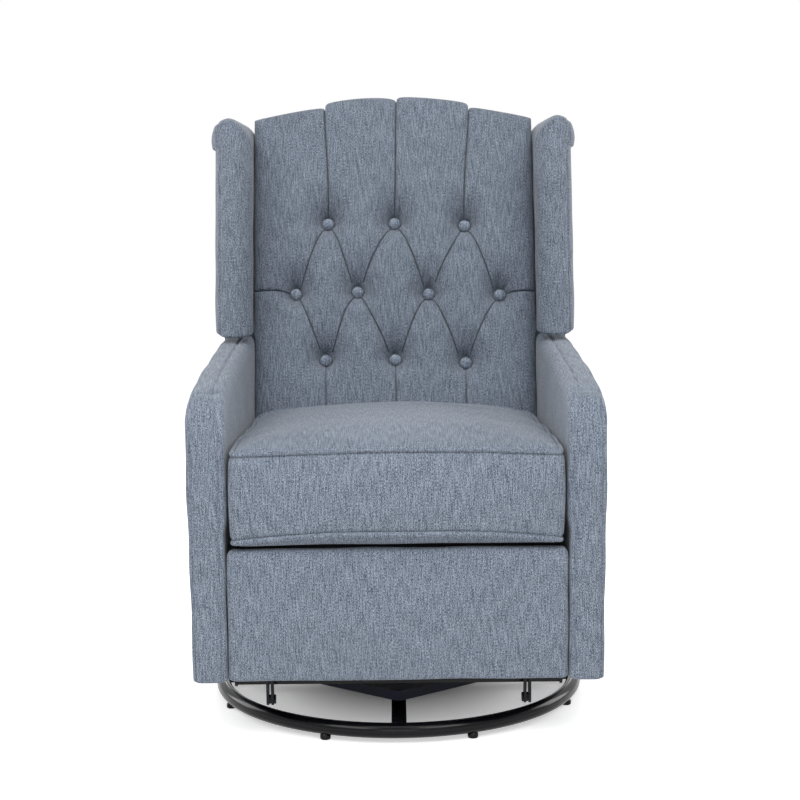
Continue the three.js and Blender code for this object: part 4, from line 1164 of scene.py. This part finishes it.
def wing_top(x):
    """Height of the top of the right wing across it: a round head outside, falling inward"""
    outer_round, inner_round, outer_fall, inner_fall, slope = 0.030, 0.050, 0.012, 0.052, 0.010
    into = np.clip((HEAD_X - x) / inner_round, 0, 1)
    outside = outer_fall * arc_fall((x - HEAD_X) / outer_round)
    return WING_TOP - outside - inner_fall * arc_fall(into) - slope * into


def wing_shape(points):
    """Places the points of the right wing"""
    front_foot, front_top, front_hollow, inner_space = 0.118, 0.196, 0.008, 0.0005
    head_radius, head_roll = 0.024, 0.008
    bulge_depth, bulge_place, bulge_width, top_share = 0.009, 0.028, 0.030, 0.03
    arch_height, arch_end = 0.014, 0.198
    heel_drop, heel_start, heel_end = 0.038, 0.286, 0.312
    x, y, z = points.T
    half = WING_HALVES[0]
    up = z / (2 * z.max()) + 0.5
    outer = x / (2 * half) + 0.5
    level = lerp(WING_FOOT, WING_TOP, up)
    front = AXIS_Y + lerp(front_foot, front_top, up) - front_hollow * np.sin(math.pi * up)
    rear = back_face(level) + (BACK_DEPTH + BACK_BOARD + BACK_PANEL) / math.cos(BACK_LEAN)
    y = lerp(front, rear, y / (2 * y.max()) + 0.5)
    head = np.sqrt(np.clip(1 - ((level - HEAD_HEIGHT) / head_radius) ** 2, 0, 1))
    bulge = bulge_depth * np.exp(-(((y - front - bulge_place) / bulge_width) ** 2))
    bulge = bulge * eased(1 - up, 0, top_share)
    x = x + WING_INNER_X + inner_space + half + head_roll * head * outer - bulge * (1 - outer)
    arch = arch_height * eased(y - AXIS_Y, front_foot, arch_end)
    heel = heel_drop * eased(y - AXIS_Y, heel_start, heel_end)
    z = WING_FOOT + up * (wing_top(x) - WING_FOOT) + (arch - heel) * (1 - up) ** 3
    return columns(x, y, z)


def head_seam():
    """The seam round the head of the right wing, on its front"""
    centre_x, centre_height, radius, reach = 0.316, 1.012, 0.021, 0.19
    turn = np.linspace(-0.7, 0.43 * TURN, 40)
    return columns(centre_x + radius * np.cos(turn), AXIS_Y + reach, centre_height + radius * np.sin(turn))


class RECLINER_OT_wings(bpy.types.Operator):
    """Make the wings of the back"""

    bl_idname = "recliner.wings"
    bl_label = "Wings"

    def execute(self, context):
        foot, inset_deep, inset_high, counts = 0.008, 0.017, 0.015, (34, 84, 160)
        half, half_deep, half_high = WING_HALVES
        wing = padded_block("right_wing_cover", WING_HALVES, WING_EDGES, foot, wing_shape, counts)
        sew(wing, laid_on(wing, head_seam()), depth=0.004, width=0.0035)
        across, up = border(half_deep - inset_deep, half_high - inset_high)
        edge = laid_on(wing, wing_shape(columns(half, across, up)))
        sew(wing, edge, depth=0.0028, width=0.0028, closed=True)
        rumple(wing, amount=0.0007, length=0.13, seed=21)
        upholster_pair(wing, "back", "wing", fill=0.7, cloth=heather_cloth_painted_shade)
        return {"FINISHED"}


# Rear of the chair


def panel_shape(points):
    """Places the points of the outside back"""
    inset, side_space, board_space, edge_radius = 0.007, 0.004, 0.0006, 0.010
    crown, crown_width = 0.002, 0.12
    across, front, up = points.T
    share = (up + 1) / 2
    half = back_half_width(share * (crest_rise(across * BACK_UPPER_WIDTH / 2, 0) - inset)) - side_space
    x = across * half
    crest = crest_rise(x, 0) - inset
    rise = share * crest
    edge = edge_distance(x, half, rise, crest)
    near = BACK_DEPTH + BACK_BOARD + board_space
    roll = edge_radius * arc_fall(1 - edge / edge_radius)
    far = near + BACK_PANEL - roll + crown * eased(edge, 0, crown_width)
    return on_back(x, rise, lerp(near, far, (front + 1) / 2))


class RECLINER_OT_rear(bpy.types.Operator):
    """Make the outside back and the apron below it"""

    bl_idname = "recliner.rear"
    bl_label = "Rear panels"

    def execute(self, context):
        panel = piece_from(grid_block((176, 6, 236)), "back_panel_cover")
        set_points(panel, panel_shape(points_of(panel)))
        seam_across, seam_up = 0.94, 0.965
        across, up = border(seam_across, seam_up, gap=0.03)
        sew(panel, panel_shape(columns(across, 1, up)), depth=0.0025, width=0.003, closed=True)
        upholster(panel, "back", "back_panel", fill=0.4, lean=BACK_LEAN)
        low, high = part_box("rear_apron")
        halves, middle, edge = (high - low) / 2, np.array((high + low) / 2), 0.005

        def shape(points):
            return points + middle

        apron = padded_block("rear_apron_cover", halves, (edge,) * 3, edge, shape, counts=(120, 8, 44))
        upholster(apron, "carriage", "rear_apron", fill=0.4)
        return {"FINISHED"}


# Stage

WORLD_LIGHT = 0.18

# Each light's name, place, aim, size across and up in metres, and power in watts
LIGHTS = (
    ("key", (1.5, -2.7, 2.9), (0, 0, 0.5), (1.6, 1.6), 45),
    ("fill", (-1.7, -2.7, 2.7), (0, 0, 0.5), (1.6, 1.6), 46),
    ("front", (0, -3.6, 1.0), (0, 0, 0.5), (1.4, 1.0), 10),
    ("top", (0, -1.0, 3.0), (0, -0.2, 0.4), (1.8, 1.4), 25),
    ("rear", (0, 3.0, 1.5), (0, 0, 0.6), (1.6, 1.6), 32),
    ("left_side", (-2.7, 1.1, 1.3), (0, 0, 0.5), (1.4, 1.4), 34),
    ("right_side", (2.7, 1.1, 1.3), (0, 0, 0.5), (1.4, 1.4), 34),
)


def pale_floor():
    """Pale floor that the camera and reflections see as white away from the chair, with the chair's cast shadow on
    it and a painted shadow round the chair
    """
    painted_shadow_radius, white_radius, glow_near, glow_far = 0.12, 0.55, 0.06, 0.88
    wiring = wired("pale_floor")
    away = wiring.add("ShaderNodeVectorMath", Vector=wiring.coordinates())
    away.operation = "LENGTH"
    # The glow is lowest near the chair and rises outward: a painted shadow under and round the chair, added to its
    # cast shadow
    glow_with_painted_shadow = wiring.spread(away.outputs["Value"], glow_near, glow_far, painted_shadow_radius, white_radius)
    return wiring.cover(
        Base_Color=(0.86, 0.86, 0.86, 1),
        Roughness=0.85,
        Emission_Color=(1, 1, 1, 1),
        Emission_Strength=wiring.math("MULTIPLY", wiring.seen(), glow_with_painted_shadow),
        Specular_IOR_Level=0.1,
    )


def white_world():
    """Even studio light, white where the camera or a reflection sees it"""
    world = bpy.data.worlds.new("studio")
    wiring = Wiring(world, "Background")
    wiring.cover(Color=(1, 1, 1, 1), Strength=wiring.spread(wiring.seen(), WORLD_LIGHT, 1))
    bpy.context.scene.world = world


def area_light(name, place, aim, size, power):
    light = bpy.data.lights.new(name, "AREA")
    light.shape = "RECTANGLE"
    light.size, light.size_y = size
    light.energy = power
    lamp = linked(name, light)
    lamp.location = place
    lamp.rotation_euler = (Vector(aim) - Vector(place)).to_track_quat("-Z", "Y").to_euler()


class RECLINER_OT_stage(bpy.types.Operator):
    """Set the camera, the floor and the light"""

    bl_idname = "recliner.stage"
    bl_label = "Stage"

    def execute(self, context):
        settings = context.scene.recliner_stage
        scene = context.scene
        sensor, floor_half = 36, 30
        scene.view_settings.view_transform = "Standard"
        lens = bpy.data.cameras.new("camera")
        lens.lens = settings.lens
        lens.sensor_width = sensor
        lens.shift_x = settings.shift
        camera = linked("camera", lens)
        camera.location = (0, AXIS_Y - settings.distance, settings.height)
        aim = Matrix.Rotation(TURN / 4 - settings.pitch, 3, "X") @ Matrix.Rotation(settings.roll, 3, "Z")
        camera.rotation_euler = aim.to_euler()
        scene.camera = camera
        bm = bmesh.new()
        bmesh.ops.create_grid(bm, x_segments=1, y_segments=1, size=floor_half)
        floor = piece_from(bm, "floor")
        floor.data.materials.append(pale_floor())
        white_world()
        for light in LIGHTS:
            area_light(*light)
        return {"FINISHED"}


class RECLINER_PT_panel(bpy.types.Panel):
    """The steps that dress the chair"""

    bl_idname = "RECLINER_PT_panel"
    bl_label = "Recliner"
    bl_space_type = "VIEW_3D"
    bl_region_type = "UI"
    bl_category = "Recliner"

    def draw(self, context):
        for step in STEPS:
            self.layout.operator(step.bl_idname)


GROUPS = {
    "recliner_fabric": FabricSettings,
    "recliner_cushion": CushionSettings,
    "recliner_tufts": TuftSettings,
    "recliner_base": BaseSettings,
    "recliner_stage": StageSettings,
}
STEPS = (
    RECLINER_OT_stage,
    RECLINER_OT_base,
    RECLINER_OT_seat,
    RECLINER_OT_footrest,
    RECLINER_OT_arms,
    RECLINER_OT_back,
    RECLINER_OT_wings,
    RECLINER_OT_rear,
    RECLINER_OT_mechanism,
)


def register():
    for group in GROUPS.values():
        bpy.utils.register_class(group)
    for name, group in GROUPS.items():
        setattr(bpy.types.Scene, name, bpy.props.PointerProperty(type=group))
    for step in (*STEPS, RECLINER_PT_panel):
        bpy.utils.register_class(step)


def unregister():
    for step in (RECLINER_PT_panel, *reversed(STEPS)):
        bpy.utils.unregister_class(step)
    for name in GROUPS:
        delattr(bpy.types.Scene, name)
    for group in reversed(GROUPS.values()):
        bpy.utils.unregister_class(group)


def main():
    register()
    for step in STEPS:
        family, name = step.bl_idname.split(".")
        getattr(getattr(bpy.ops, family), name)()


if __name__ == "__main__":
    main()
